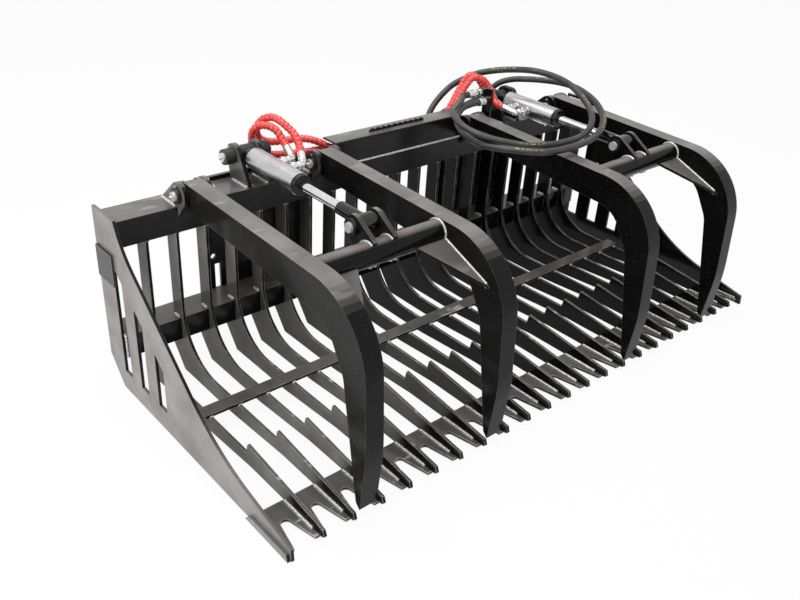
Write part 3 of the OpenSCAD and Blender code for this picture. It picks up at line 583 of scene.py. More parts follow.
@dataclass(frozen=True)
class SpiralGuard:
    """Glossy red plastic of the spiral hose guards."""

    name: str = "red_spiral_guard"
    bright: Colour = (0.90, 0.070, 0.055)
    deep: Colour = (0.66, 0.028, 0.022)

    def material(self) -> bpy.types.Material:
        """Builds the plastic.

        Returns:
            The plastic's material.
        """
        s = Shading(self.name)
        s.link(s.blend(s.spread(s.noise(60.0, 3.0), 0.0, 1.0), self.bright, self.deep), "Base Color")
        s.link(s.spread(s.noise(120.0, 2.0), 0.22, 0.34), "Roughness")
        s.set(Coat_Weight=0.4, Coat_Roughness=0.1)
        s.relief(s.noise(500.0, 2.0), 0.0003, 0.12)
        return s.material


@dataclass(frozen=True)
class HoseRubber:
    """Black rubber hose cover with a wrapped-cloth texture and a soft shine."""

    name: str = "hose_rubber"
    dark: Colour = (0.010, 0.010, 0.010)
    light: Colour = (0.036, 0.036, 0.035)

    def material(self) -> bpy.types.Material:
        """Builds the rubber.

        Returns:
            The rubber's material.
        """
        s = Shading(self.name)
        s.link(s.blend(s.spread(s.noise(30.0, 4.0), 0.0, 1.0), self.dark, self.light), "Base Color")
        s.link(s.spread(s.noise(90.0, 3.0), 0.34, 0.48), "Roughness")
        s.set(Coat_Weight=0.1, Coat_Roughness=0.2)
        s.relief(s.noise(1600.0, 2.0), 0.0003, 0.25)
        return s.material


class Finishes:
    """The finishes by the record's material slots, each built once when first asked for."""

    kinds = {
        "frame_paint": PowderCoat(
            "frame_paint", (0.0028, 0.0027, 0.0026), (0.0070, 0.0066, 0.0062),
            dust_and_sheen_share=0.52, specular=0.19, coat=0.05,
        ),
        # tine_paint: near-white edges are painted edge highlights; its painted side light stops short of the prong
        # tips
        "tine_paint": PowderCoat(
            "tine_paint", (0.0030, 0.0029, 0.0028), (0.0080, 0.0075, 0.0070), side_light_from=-0.34,
            specular=0.09, coat=0.03, wear_and_highlight=(0.80, 0.79, 0.77), edge_wear_and_highlight_share=0.9, edge_wear_and_highlight_reach=0.003,
        ),
        # grapple_paint: much painted sheen on top and hardly any painted side light, so the arms' sides stay dark
        "grapple_paint": PowderCoat(
            "grapple_paint", (0.0025, 0.0025, 0.0025), (0.0060, 0.0058, 0.0056),
            dust_and_sheen_share=0.66, side_light_share=0.06, specular=0.12, coat=0.035, edge=0.002,
        ),
        # prong_paint: near-white edges are painted highlights along the cutting edge
        "prong_paint": PowderCoat(
            "prong_paint", (0.0030, 0.0029, 0.0028), (0.0080, 0.0075, 0.0070),
            wear_and_highlight=(0.85, 0.84, 0.82), edge_wear_and_highlight_share=1.0, edge_wear_and_highlight_reach=0.0045,
        ),
        "gland_black": PowderCoat(
            "gland_black", (0.003, 0.003, 0.003), (0.006, 0.006, 0.006), dust_and_sheen_share=0.1, side_light_share=0.0,
        ),
        "pin_steel": TurnedSteel(
            "pin_steel", (0.86, 0.86, 0.86), (0.70, 0.69, 0.68), (0.25, 0.42),
            bare_axes=((0.288, 0.525), (0.368, 0.562), (-0.142, 0.556)), metallic=0.5,
        ),
        "barrel_steel": TurnedSteel(
            "barrel_steel", (0.60, 0.605, 0.61), (0.50, 0.50, 0.51), (0.24, 0.32),
            grain=0.03, painted_y=(0.3235, 0.5),
        ),
        "rod_chrome": TurnedSteel(
            "rod_chrome", (0.78, 0.78, 0.79), (0.68, 0.68, 0.69), (0.06, 0.14),
            grain=0.05, painted_y=(-0.5, -0.048),
        ),
        "fitting_zinc": TurnedSteel(
            "fitting_zinc", (0.80, 0.80, 0.78), (0.60, 0.60, 0.58), (0.16, 0.28), grain=0.05,
        ),
        "red_guard": SpiralGuard(),
        "hose_rubber": HoseRubber(),
        "hose_print": HoseRubber("hose_print", (0.55, 0.43, 0.04), (0.16, 0.13, 0.03)),
        "badge": Badge(),
        "weld": PaintedHighlightWeld(),
    }

    def __init__(self) -> None:
        """Starts with no material built."""
        self.built: dict[str, bpy.types.Material] = {}

    def __getitem__(self, slot: str) -> bpy.types.Material:
        """Finds the material of a slot.

        Args:
            slot: Name of the slot.

        Returns:
            The slot's material, built at the first call.
        """
        if slot not in self.built:
            self.built[slot] = self.kinds[slot].material()
        return self.built[slot]


FINISHES = Finishes()
RECORD_SLOTS = {m["slot"] for m in frame["record"]["materials"]}


# Mesh makers


def piece(
    name: str, verts: Sequence[Vector], faces: Iterable[Sequence[int]], slot: str, smooth: bool = True,
) -> bpy.types.Object:
    """Makes an object from vertices and faces and gives it its finish.

    Args:
        name: The piece's name.
        verts: Vertices in metres.
        faces: Faces as vertex numbers.
        slot: Name of the finish.
        smooth: Whether its faces are shaded smooth.

    Returns:
        The new object, linked to the scene.
    """
    mesh = bpy.data.meshes.new(name)
    mesh.from_pydata([tuple(v) for v in verts], [], [tuple(f) for f in faces])
    mesh.materials.append(FINISHES[slot])
    for polygon in mesh.polygons:
        polygon.use_smooth = smooth
    mesh.validate()
    mesh.update()
    obj = bpy.data.objects.new(name, mesh)
    bpy.context.scene.collection.objects.link(obj)
    return obj


def reported(obj: bpy.types.Object) -> bpy.types.Object:
    """Logs a finished piece and returns it."""
    log.info("piece %s: %d faces", obj.name, len(obj.data.polygons))
    return obj


def length_of(line: Sequence[Vector]) -> float:
    """Returns the length of a line through points."""
    return sum((b - a).length for a, b in zip(line, line[1:]))


def spline(points: Sequence[Vector], step: float, cuts: int = 16) -> list[Vector]:
    """Runs a smooth line through points and spaces it evenly.

    Args:
        points: The points that the line passes.
        step: Distance between the returned points in metres.
        cuts: Number of stretches that the curve between two points is cut into first.

    Returns:
        Evenly spaced points from the first to the last.
    """
    fine: list[Vector] = []
    last = len(points) - 1
    for i in range(last):
        a, b, c, d = points[max(i - 1, 0)], points[i], points[i + 1], points[min(i + 2, last)]
        square, cube = 2 * a - 5 * b + 4 * c - d, 3 * b - a - 3 * c + d
        for t in (j / cuts for j in range(cuts)):
            fine.append((2 * b + (c - a) * t + square * t**2 + cube * t**3) / 2)
    fine.append(points[last])
    return evenly(fine, step)


def evenly(line: Sequence[Vector], step: float) -> list[Vector]:
    """Spaces points evenly along a line.

    Args:
        line: The line's points.
        step: Wanted distance between the returned points in metres.

    Returns:
        Points at even distances of about a step, from the line's first to its last.
    """
    total = length_of(line)
    count = max(2, round(total / step))
    out, wanted, gone = [line[0].copy()], total / count, 0.0
    for a, b in zip(line, line[1:]):
        span = (b - a).length
        while span > 0 and gone + span >= wanted * len(out) - 1e-9 and len(out) < count:
            out.append(a.lerp(b, (wanted * len(out) - gone) / span))
        gone += span
    out.append(line[-1].copy())
    return out


class MeshParts:
    """Collects swept and turned shapes into the vertices and faces of one piece.

    Attributes:
        flat_share: Share of a nut's corner radius at which its spanner flats lie.
        nut_sides: Number of sides of a nut's rings.
        bead_sides: Number of sides of a weld bead.
        bead_swell: Share of a weld bead's width that its ripples take.
    """

    flat_share = 0.875
    nut_sides = 48
    bead_sides = 7
    bead_swell = 0.14

    def __init__(self) -> None:
        """Starts with no shape."""
        self.verts: list[Vector] = []
        self.faces: list[tuple[int, ...]] = []

    def rings(self, rings: Sequence[Sequence[Vector]]) -> None:
        """Joins rings of equal count into a skin with filled ends.

        Args:
            rings: Rings of vertices, in order along the shape.
        """
        start, k = len(self.verts), len(rings[0])
        for ring in rings:
            self.verts.extend(ring)
        for i in range(len(rings) - 1):
            a, b = start + i * k, start + (i + 1) * k
            self.faces.extend((a + j, a + (j + 1) % k, b + (j + 1) % k, b + j) for j in range(k))
        self.faces.append(tuple(range(start + k - 1, start - 1, -1)))
        self.faces.append(tuple(range(len(self.verts) - k, len(self.verts))))

    def tube(self, line: Sequence[Vector], radius: Callable[[float, float], float], sides: int) -> None:
        """Sweeps a ring along a line.

        Args:
            line: Centre points.
            radius: Radius at a length along the line and an angle round it.
            sides: Number of sides.
        """
        normal, gone, rings = Vector((0.31, -0.22, 0.93)), 0.0, []
        for i, centre in enumerate(line):
            along = (line[min(i + 1, len(line) - 1)] - line[max(i - 1, 0)]).normalized()
            normal = (normal - along * normal.dot(along)).normalized()
            other = along.cross(normal)
            gone += (centre - line[i - 1]).length if i else 0.0
            ring = []
            for angle in (math.tau * j / sides for j in range(sides)):
                ring.append(centre + radius(gone, angle) * (normal * math.cos(angle) + other * math.sin(angle)))
            rings.append(ring)
        self.rings(rings)

    def turned(self, origin: Vector, axis: Vector, profile: Profile, sides: int = 40, flats: int = 0) -> None:
        """Turns a profile about an axis.

        Args:
            origin: Point on the axis where the profile starts.
            axis: Direction of the axis.
            profile: Pairs of distance along the axis and radius, in metres.
            sides: Number of sides.
            flats: Number of spanner flats, or none.
        """
        axis = axis.normalized()
        u = axis.orthogonal().normalized()
        v = axis.cross(u)
        flat = self.flat_share * max(r for _, r in profile)
        rings = []
        for along, r in profile:
            ring = []
            for angle in (math.tau * j / sides for j in range(sides)):
                reach = r
                if flats:
                    turn = (angle % (math.tau / flats)) - math.pi / flats
                    reach = min(r, flat / math.cos(turn))
                ring.append(origin + axis * along + (u * math.cos(angle) + v * math.sin(angle)) * reach)
            rings.append(ring)
        self.rings(rings)

    def nut(self, origin: Vector, axis: Vector, length: float, low: float, high: float, slope: float = 0.001) -> None:
        """Adds a six-sided nut with chamfered ends.

        Args:
            origin: Point on the axis where the nut starts.
            axis: Direction of the axis.
            length: Its length in metres.
            low: Radius of its ends in metres.
            high: Radius over its corners in metres.
            slope: Length of each chamfer in metres.
        """
        profile = [(0.0, low), (slope, high), (length - slope, high), (length, low)]
        self.turned(origin, axis, profile, self.nut_sides, 6)

    def bead(self, line: Sequence[Vector], width: float, ripple: float = 0.0028) -> None:
        """Lays a rippled weld bead along a line.

        Args:
            line: Corner points of the seam.
            width: Half of the bead's width in metres.
            ripple: Distance from ripple to ripple in metres.
        """

        def size(gone: float, angle: float) -> float:
            """Radius of the bead, thicker at each ripple."""
            return width * (1.0 - self.bead_swell + self.bead_swell * abs(math.sin(math.pi * gone / ripple)))

        self.tube(evenly(line, ripple / 3), size, self.bead_sides)

    def made(self, name: str, slot: str, smooth: bool = True) -> bpy.types.Object:
        """Returns the collected shapes as one object."""
        return piece(name, self.verts, self.faces, slot, smooth)


@dataclass(frozen=True)
class Crimp:
    """Skin of a crimped ferrule with grooves round it, in metres.

    Attributes:
        low: Radius at both ends.
        high: Radius of the skin.
        deep: Radius in a groove.
        ends: Places along the axis of the two rings at each end.
        pitch: Distance from groove to groove.
        count: Number of grooves.
        steps: Places of a groove's last three rings after its first.
        first: Place of the first groove.
    """

    low: float
    high: float
    deep: float
    ends: tuple[float, float, float, float]
    pitch: float
    count: int
    steps: tuple[float, float, float]
    first: float = 0.003

    def profile(self) -> list[tuple[float, float]]:
        """Lays out the ferrule's profile.

        Returns:
            Pairs of distance along the axis and radius.
        """
        out = [(self.ends[0], self.low), (self.ends[1], self.high)]
        for n in range(self.count):
            start = self.first + self.pitch * n
            out.append((start, self.high))
            out += [(start + step, r) for step, r in zip(self.steps, (self.deep, self.deep, self.high))]
        return out + [(self.ends[2], self.high), (self.ends[3], self.low)]


# Sub-assemblies


@dataclass
class Studio:
    """Camera, pale floor, white surroundings and soft lamps.

    Attributes:
        yaw: Turn of the camera's view from straight ahead, in radians.
        pitch: Its fall below level, in radians.
        roll: Its tilt to one side, in radians.
        eye: The camera's place in metres.
        lens: Its focal length in millimetres.
        sensor: Width of its sensor in millimetres.
        far: Distance in metres that it sees.
        floor_size: Side of the floor in metres.
        floor_drop: How far the floor lies under the bucket, in metres.
        floor_tone: Lightness of the floor.
        floor_glow: Share of white that it shows to the camera.
        fill: Strength of the surroundings where they only light.
        lamps: Name, place in metres, side in metres and power in watts of each lamp.
        aim: Place that the lamps point at.
    """

    yaw: float = 0.75111
    pitch: float = 0.52806
    roll: float = 0.0674
    eye: Place = (-1.62711, -1.48767, 1.38075)
    lens: float = 37.909
    sensor: float = 36.0
    far: float = 60.0
    floor_size: float = 60.0
    floor_drop: float = 0.001
    floor_tone: float = 0.93
    floor_glow: float = 0.93
    fill: float = 0.45
    lamps: tuple[tuple[str, Place, float, float], ...] = (
        ("lamp_over", (-0.6, 0.4, 3.2), 2.6, 70.0),
        ("lamp_left", (-3.4, -0.8, 1.6), 1.6, 34.0),
    )
    aim: Place = (0.0, 0.0, 0.25)

    def camera(self) -> None:
        """Places the camera where the photograph was taken from."""
        level = math.cos(self.pitch)
        ahead = Vector((math.sin(self.yaw) * level, math.cos(self.yaw) * level, -math.sin(self.pitch)))
        right = Vector((math.cos(self.yaw), -math.sin(self.yaw), 0.0))
        up = right.cross(ahead)
        across = right * math.cos(self.roll) + up * math.sin(self.roll)
        top = up * math.cos(self.roll) - right * math.sin(self.roll)
        data = bpy.data.cameras.new("camera")
        data.sensor_width = self.sensor
        data.lens = self.lens
        data.clip_end = self.far
        obj = bpy.data.objects.new("camera", data)
        bpy.context.scene.collection.objects.link(obj)
        turn = Matrix((across, top, -ahead)).transposed()
        obj.matrix_world = Matrix.Translation(self.eye) @ turn.to_4x4()
        bpy.context.scene.camera = obj

    def floor(self) -> None:
        """Lays the pale floor, which shows white to the camera and keeps a soft shadow."""
        half = self.floor_size / 2
        corners = [(-half, -half, 0), (half, -half, 0), (half, half, 0), (-half, half, 0)]
        mesh = bpy.data.meshes.new("floor")
        mesh.from_pydata(corners, [], [(0, 1, 2, 3)])
        obj = bpy.data.objects.new("floor", mesh)
        obj.location.z = -self.floor_drop
        bpy.context.scene.collection.objects.link(obj)
        mesh.materials.append(self.floor_material())

    def floor_material(self) -> bpy.types.Material:
        """Builds the floor's material.

        Returns:
            A matt material that glows white where it is seen.
        """
        material = bpy.data.materials.new("floor")
        material.use_nodes = True
        tree = material.node_tree
        shader = tree.nodes["Principled BSDF"]
        shader.inputs["Base Color"].default_value = (self.floor_tone, self.floor_tone, self.floor_tone, 1.0)
        shader.inputs["Roughness"].default_value = 0.9
        shader.inputs["Specular IOR Level"].default_value = 0.0
        glow = tree.nodes.new("ShaderNodeEmission")
        glow.inputs["Strength"].default_value = 1.0
        mix = tree.nodes.new("ShaderNodeMixShader")
        share = tree.nodes.new("ShaderNodeMath")
        share.operation = "MULTIPLY"
        share.inputs[1].default_value = self.floor_glow
        tree.links.new(self.seen(tree), share.inputs[0])
        tree.links.new(share.outputs[0], mix.inputs[0])
        tree.links.new(shader.outputs[0], mix.inputs[1])
        tree.links.new(glow.outputs[0], mix.inputs[2])
        tree.links.new(mix.outputs[0], tree.nodes["Material Output"].inputs["Surface"])
        return material

    @staticmethod
    def seen(tree: bpy.types.NodeTree) -> Socket:
        """Tells rays that see from rays that only light.

        Args:
            tree: The node tree that asks.

        Returns:
            A socket that is 1 for camera, glossy and transmission rays.
        """
        path = tree.nodes.new("ShaderNodeLightPath")
        value = path.outputs["Is Camera Ray"]
        for name in ("Is Glossy Ray", "Is Transmission Ray"):
            most = tree.nodes.new("ShaderNodeMath")
            most.operation = "MAXIMUM"
            tree.links.new(value, most.inputs[0])
            tree.links.new(path.outputs[name], most.inputs[1])
            value = most.outputs[0]
        return value

    def surroundings(self) -> None:
        """Makes the world: white where it is seen, softer where it only lights."""
        around = bpy.data.worlds.new("studio")
        bpy.context.scene.world = around
        around.use_nodes = True
        tree = around.node_tree
        plain = tree.nodes["Background"]
        white = tree.nodes.new("ShaderNodeBackground")
        for node, strength in ((plain, self.fill), (white, 1.0)):
            node.inputs["Color"].default_value = (1.0, 1.0, 1.0, 1.0)
            node.inputs["Strength"].default_value = strength
        mix = tree.nodes.new("ShaderNodeMixShader")
        tree.links.new(self.seen(tree), mix.inputs[0])
        tree.links.new(plain.outputs[0], mix.inputs[1])
        tree.links.new(white.outputs[0], mix.inputs[2])
        tree.links.new(mix.outputs[0], tree.nodes["World Output"].inputs["Surface"])

    def lamp(self, name: str, at: Place, size: float, power: float) -> None:
        """Hangs one soft square lamp that points at the bucket.

        Args:
            name: The lamp's name.
            at: Its place in metres.
            size: Its side in metres.
            power: Its power in watts.
        """
        data = bpy.data.lights.new(name, "AREA")
        data.size = size
        data.energy = power
        obj = bpy.data.objects.new(name, data)
        obj.location = at
        obj.rotation_euler = (Vector(self.aim) - Vector(at)).to_track_quat("-Z", "Y").to_euler()
        bpy.context.scene.collection.objects.link(obj)

    def build(self) -> None:
        """Sets up the whole studio."""
        bpy.context.scene.view_settings.view_transform = "Standard"
        self.camera()
        self.floor()
        self.surroundings()
        for lamp in self.lamps:
            self.lamp(*lamp)
        log.info("studio ready")


@dataclass
class Steelwork:
    """The plates, beams, arms, pins and cylinders that keep their solid shapes.

    Attributes:
        replaced: Nodes whose place a piece of the scene takes.
        special: Finishes of nodes that differ from their slot's.
    """

    replaced: tuple[str, ...] = ("feed_hose_a", "feed_hose_b", "left_red_hoses", "right_red_hoses")
    special: ClassVar[dict[str, str]] = {"badge_plate": "badge", "cutting_edge": "prong_paint"}

    def dress(self) -> None:
        """Gives every node that shows its slot's finish."""
        slots = {s["node"]: s["material_slot"] for s in frame["record"]["subparts"]}
        for name, obj in frame["nodes"].items():
            if name in self.replaced:
                continue
            finish = FINISHES[self.special.get(name, slots[name])]
            if not obj.material_slots:
                obj.data.materials.append(finish)
            for slot in obj.material_slots:
                slot.material = finish
            slots[name]
            log.info("node %s: %s", name, finish.name)


@dataclass
class FeedHose:
    """A black hose that loops over the right grapple, from its tee to its coupler.

    Attributes:
        name: The hose's node.
        route: The points that it passes.
        coupler: The node of the coupler on its far end.
        radius: Its radius in metres.
        sides: Number of its sides.
        step: Distance between its rings in metres.
        bend: The stretch, in millimetres, over which it goes from the bucket to the grapple; not used.
        print_from: Length in metres before the first printed mark.
        print_pitch: Distance in metres from mark to mark.
        print_clear: Number of rings without a mark at the end.
        print_face: Direction that the marks face.
        print_lift: Height of the marks over the rubber in metres.
        print_lap: Share of a step that each dash stays short at its ends.
        dashes: Number of steps in each dash of a mark.
        wide: Width of every third dash in metres.
        narrow: Width of the other dashes in metres.
    """

    name: str
    route: Route
    coupler: str
    radius: float = 0.00985
    sides: int = 20
    step: float = 0.006
    bend: tuple[Place, Place] = ((200.0, 149.0, 600.0), (228.0, 224.0, 600.0))
    print_from: float = 0.10
    print_pitch: float = 0.36
    print_clear: int = 30
    print_face: Place = (-0.35, -0.55, 0.75)
    print_lift: float = 0.0001
    print_lap: float = 0.06
    dashes: tuple[int, ...] = (2, 1, 3, 1, 2)
    wide: float = 0.0040
    narrow: float = 0.0028

    def line(self) -> list[Vector]:
        """Runs the hose's centre line, straight at both ends.

        Returns:
            Its points in metres.
        """
        points = [world(*p) for p in self.route]
        middle = spline(points[1:-1], self.step)
        head = evenly([points[0], middle[0]], self.step)
        tail = evenly([middle[-1], points[-1]], self.step)
        return head[:-1] + middle + tail[1:]

    def build(self) -> bpy.types.Object:
        """Returns:
            The hose's object.
        """
        line = self.line()
        parts = MeshParts()
        parts.tube(line, lambda gone, angle: self.radius, self.sides)
        obj = parts.made(self.name + "_rubber", "hose_rubber")
        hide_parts(self.name)
        tuple(line[0])
        length_of(line)
        frame["nodes"][self.coupler]
        marks = self.marks(line)
        start, end = [world(*p) for p in self.bend]
        for mesh in (obj, marks):
            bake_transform(mesh)
        reported(marks)
        return reported(obj)

    def marks(self, line: Sequence[Vector]) -> bpy.types.Object:
        """Makes the dashes of the printed line, bare of any words, on the hose's upper side.

        Args:
            line: The hose's centre line.

        Returns:
            The dashes as one object.
        """
        parts = MeshParts()
        first, pitch = int(self.print_from / self.step), int(self.print_pitch / self.step)
        for mark in range(first, len(line) - self.print_clear, pitch):
            at = mark
            for n, count in enumerate(self.dashes):
                for j in range(at, at + count):
                    self.dash(parts, line, j, self.narrow if n % 3 else self.wide)
                at += count + 1
        return parts.made(self.name + "_marks", "hose_print", False)

    def dash(self, parts: MeshParts, line: Sequence[Vector], j: int, width: float) -> None:
        """Adds one short stretch of the printed line.

        Args:
            parts: The shapes to add it to.
            line: The hose's centre line.
            j: Number of the point where the stretch starts.
            width: Its width in metres.
        """
        ring = []
        face = Vector(self.print_face)
        for k, reach in ((j, self.print_lap), (j + 1, -self.print_lap)):
            along = (line[k + 1] - line[k - 1]).normalized()
            out = (face - along * face.dot(along)).normalized()
            across = along.cross(out)
            centre = line[k] + along * self.step * reach
            for w in (-1, 1):
                flat = (out + across * w * width / (2 * self.radius)).normalized()
                ring.append(centre + flat * (self.radius + self.print_lift))
        n = len(parts.verts)
        parts.verts.extend(ring)
        parts.faces.append((n, n + 1, n + 3, n + 2))


@dataclass
class GuardedHoses:
    """The two short hoses of one cylinder, wrapped in a red spiral guard.

    Attributes:
        side: The grapple that the cylinder moves.
        routes: Each hose's route from its ferrule to its tee.
        outer: Radius over the guard's turns in metres.
        inner: Radius in the groove between them in metres.
        pitch: Distance from turn to turn in metres.
        turn_rings: Number of rings in a turn.
        sides: Number of the guard's sides.
        barrel_r: Radius of the barrel in millimetres, which the ports stand on.
        boss_l: Length of a port's boss in millimetres.
        elbow_l: Distance from the boss to the middle of the elbow in millimetres.
        ferrule_l: Length from the elbow's middle to the ferrule's end in millimetres.
        past_ferrule: Distances past the ferrule, in millimetres, where the guard starts and still runs straight.
        ports: Distance of each port from the base pin in millimetres.
        ways: Direction of each ferrule, as across, forward and up.
        bend: The stretch, in millimetres, over which the hoses go from the bucket to the cylinder; not used.
    """

    side: Side
    routes: tuple[Route, Route]
    outer: float = 0.011
    inner: float = 0.0082
    pitch: float = 0.013
    turn_rings: int = 7
    sides: int = 16
    barrel_r: float = 29.0
    boss_l: float = 14.0
    elbow_l: float = 38.0
    ferrule_l: float = 46.0
    past_ferrule: tuple[float, float] = (1.3, 22.0)
    ports: tuple[float, float] = (104.0, 150.0)
    ways: tuple[Place, Place] = ((10.0, -46.0, 20.0), (33.0, -60.0, 22.0))
    bend: tuple[Place, Place] = ((412.0, 10.0, 600.0), (445.0, 54.0, 600.0))

    def start(self, i: int, reach: float) -> Vector:
        """Finds a point on a ferrule's axis.

        Args:
            i: Number of the hose.
            reach: Distance past its elbow in millimetres.

        Returns:
            The point in metres.
        """
        g, s, (d, z) = self.side.value, self.ports[i], BASE_PIN
        way = Vector(self.ways[i]).normalized()
        x = g * (GRAPPLE_X - self.barrel_r - self.boss_l - self.elbow_l) - g * way.x * reach
        return world(x, d + s + way.y * reach, z + s * math.tan(CYLINDER_TILT) + way.z * reach)

    def guard(self, gone: float, angle: float) -> float:
        """Radius of the spiral wrap, round-backed with a groove between its turns."""
        turn = (gone / self.pitch - angle / math.tau) % 1.0
        return self.inner + (self.outer - self.inner) * math.sqrt(max(0.0, 1.0 - (2.0 * turn - 1.0) ** 2))

    def build(self) -> bpy.types.Object:
        """Makes both hoses as one piece.

        Returns:
            The hoses' object.
        """
        g = self.side.value
        parts = MeshParts()
        for i, route in enumerate(self.routes):
            straight = [self.start(i, self.ferrule_l + past) for past in self.past_ferrule]
            line = spline(straight + [world(*p) for p in route], self.pitch / self.turn_rings)
            parts.tube(line, self.guard, self.sides)
        node = f"{self.side.word}_red_hoses"
        obj = parts.made(node + "_guard", "red_guard")
        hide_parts(node)
        start, end = [world(g * x, d, z) for x, d, z in self.bend]
        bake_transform(obj)
        return reported(obj)


@dataclass
class Tines:
    """Weld seams of the tines, beams and plates of the bucket, in millimetres.

    A foot is where the bead runs, as (from, to, height), with the first two as forward distances. A corner
    is a list of (forward distance, height).

    Attributes:
        pitch: Distance from tine to tine.
        half: Number of tines on each side of the middle one.
        bead: Half of a thin bead's width in metres.
        reach: Distance from a tine's middle to a thin bead.
        top_foot: Where a tine meets the top beam.
        bar_edges: Forward distances of the cross bar's edges.
        bar_z: Height of the beads on the cross bar.
        wall: Distance from the middle to the beads along the side plates.
        corners: Where the side plates meet the top beam, the lower beam and the cutting edge.
        cover_foot: Half length, forward distance and height of the bead under the cover.
        thick: Half of a wide bead's width in metres.
        thick_ripple: Distance from ripple to ripple of a wide bead in metres.
        thick_reach: Distance from a tine's middle to a wide bead.
        tine_feet: Where a tine meets the lower beam and the cutting edge.
        lug_x: Distance from an arm's middle to its lugs.
        bracket_x: Distance from a cylinder's middle to its bracket's plates.
        plate_reach: Distance from the middle of a lug or bracket plate to its bead.
        plate_foot: Where a lug or bracket plate meets the top beam.
    """

    pitch: float = 83.0
    half: int = 10
    bead: float = 0.0036
    reach: float = 4.6
    top_foot: Place = (54.0, 97.0, 421.4)
    bar_edges: tuple[float, float] = (329.6, 370.4)
    bar_z: float = 46.6
    wall: float = 908.4
    corners: tuple[tuple[tuple[float, float], ...], ...] = (
        ((10.0, 492.6), (98.6, 492.6), (98.6, 424.0)),
        ((2.0, 167.6), (90.6, 167.6), (90.6, 104.0)),
        ((692.0, 16.6), (820.0, 16.6)),
    )
    cover_foot: Place = (244.0, 98.8, 492.0)
    thick: float = 0.0058
    thick_ripple: float = 0.0045
    thick_reach: float = 5.0
    tine_feet: tuple[Place, Place] = ((60.0, 84.0, 167.6), (696.0, 804.0, 17.0))
    lug_x: float = 34.0
    bracket_x: float = 32.0
    plate_reach: float = 8.0
    plate_foot: Place = (22.0, 92.0, 493.0)

    @staticmethod
    def foot(x: float, place: Place) -> list[Vector]:
        """Turns a foot at x into the two ends of its bead."""
        low, high, z = place
        return [world(x, low, z), world(x, high, z)]

    def thin_seams(self) -> list[list[Vector]]:
        """Lays out the beads of the tines' tops, the cross bar, the side plates and the cover.

        Returns:
            The corner points of each bead.
        """
        lines: list[list[Vector]] = []
        for x in (k * self.pitch for k in range(-self.half, self.half + 1)):
            lines += [self.foot(x + s * self.reach, self.top_foot) for s in (-1, 1)]
            for d in self.bar_edges:
                lines.append([world(x + s * self.reach, d, self.bar_z) for s in (-1, 1)])
        for side in (-1, 1):
            lines += [[world(side * self.wall, d, z) for d, z in corner] for corner in self.corners]
        length, d, z = self.cover_foot
        lines.append([world(-length, d, z), world(length, d, z)])
        return lines

    def thick_seams(self) -> list[list[Vector]]:
        """Lays out the wide beads at the feet of the tines, lugs and brackets.

        Returns:
            The corner points of each bead.
        """
        lines: list[list[Vector]] = []
        for x in (k * self.pitch for k in range(-self.half, self.half + 1)):
            for s in (-1, 1):
                lines += [self.foot(x + s * self.thick_reach, place) for place in self.tine_feet]
        plates = [a * ARM_X + s * self.lug_x for a in (-1, 1) for s in (-1, 1)] + [-self.bracket_x, self.bracket_x]
        for x in (g * GRAPPLE_X + plate for g in (-1, 1) for plate in plates):
            lines += [self.foot(x + s * self.plate_reach, self.plate_foot) for s in (-1, 1)]
        return lines

    def build(self) -> bpy.types.Object:
        """Makes the bucket's weld beads as one piece.

        Returns:
            The beads' object.
        """
        parts = MeshParts()
        for line in self.thin_seams():
            parts.bead(line, self.bead)
        for line in self.thick_seams():
            parts.bead(line, self.thick, self.thick_ripple)
        return reported(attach(parts.made("bucket_welds", "weld"), "bucket"))


@dataclass
class Grapple:
    """Weld seams of one grapple's arms, tube, gussets and clevis, in millimetres.

    Attributes:
        side: Which grapple it is.
        tube: Forward distance and height of the cross tube's axis.
        tube_r: Radius of a bead's middle round the tube.
        bead: Half of a bead's width in metres.
        arc_step: Angle from point to point of a bead round the tube, in degrees.
        arm_x: Distance from the grapple's middle to the beads at its arms.
        clevis_x: Distance from the grapple's middle to the clevis plates' middles.
        clevis_reach: Distance from a clevis plate's middle to its beads.
        clevis_arc: Start and sweep of those beads round the tube, in degrees.
        gusset: Distances along a gusset, from the tube's axis, between which its beads run.
        gusset_fall: Its fall below level, in degrees.
        gusset_lift: Height of its beads over and under its middle.
    """

    side: Side
    tube: tuple[float, float] = (590.0, 508.0)
    tube_r: float = 30.75
    bead: float = 0.0036
    arc_step: float = 9.0
    arm_x: float = 179.4
    clevis_x: float = 30.5
    clevis_reach: float = 6.6
    clevis_arc: tuple[float, float] = (60.0, 240.0)
    gusset: tuple[float, float] = (32.0, 190.0)
    gusset_fall: float = 21.8
    gusset_lift: float = 4.6

    def ring(self, x: float, start: float = 0.0, sweep: float = 360.0) -> list[Vector]:
        """Runs a bead's line round the cross tube.

        Args:
            x: Its place along the tube.
            start: Angle where it starts, in degrees.
            sweep: Angle that it covers, in degrees.

        Returns:
            The line's points in metres.
        """
        (d, z), r = self.tube, self.tube_r
        count = max(8, int(sweep / self.arc_step))
        angles = [math.radians(start + sweep * i / count) for i in range(count + 1)]
        return [world(x, d + r * math.cos(a), z + r * math.sin(a)) for a in angles]

    def build(self) -> bpy.types.Object:
        """Makes the grapple's weld beads as one piece.

        Returns:
            The beads' object.
        """
        parts = MeshParts()
        mid = self.side.value * GRAPPLE_X
        (d, z), fall = self.tube, math.radians(self.gusset_fall)
        for s in (-1, 1):
            x = mid + s * self.arm_x
            parts.bead(self.ring(x), self.bead)
            for t in (-1, 1):
                plate_x = mid + s * self.clevis_x + t * self.clevis_reach
                parts.bead(self.ring(plate_x, *self.clevis_arc), self.bead)
            for lift in (-self.gusset_lift, self.gusset_lift):
                line = [world(x, d + o * math.cos(fall), z - o * math.sin(fall) + lift) for o in self.gusset]
                parts.bead(line, self.bead)
        name = f"grapple_{self.side.word}"
        return reported(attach(parts.made(name + "_welds", "weld"), name))


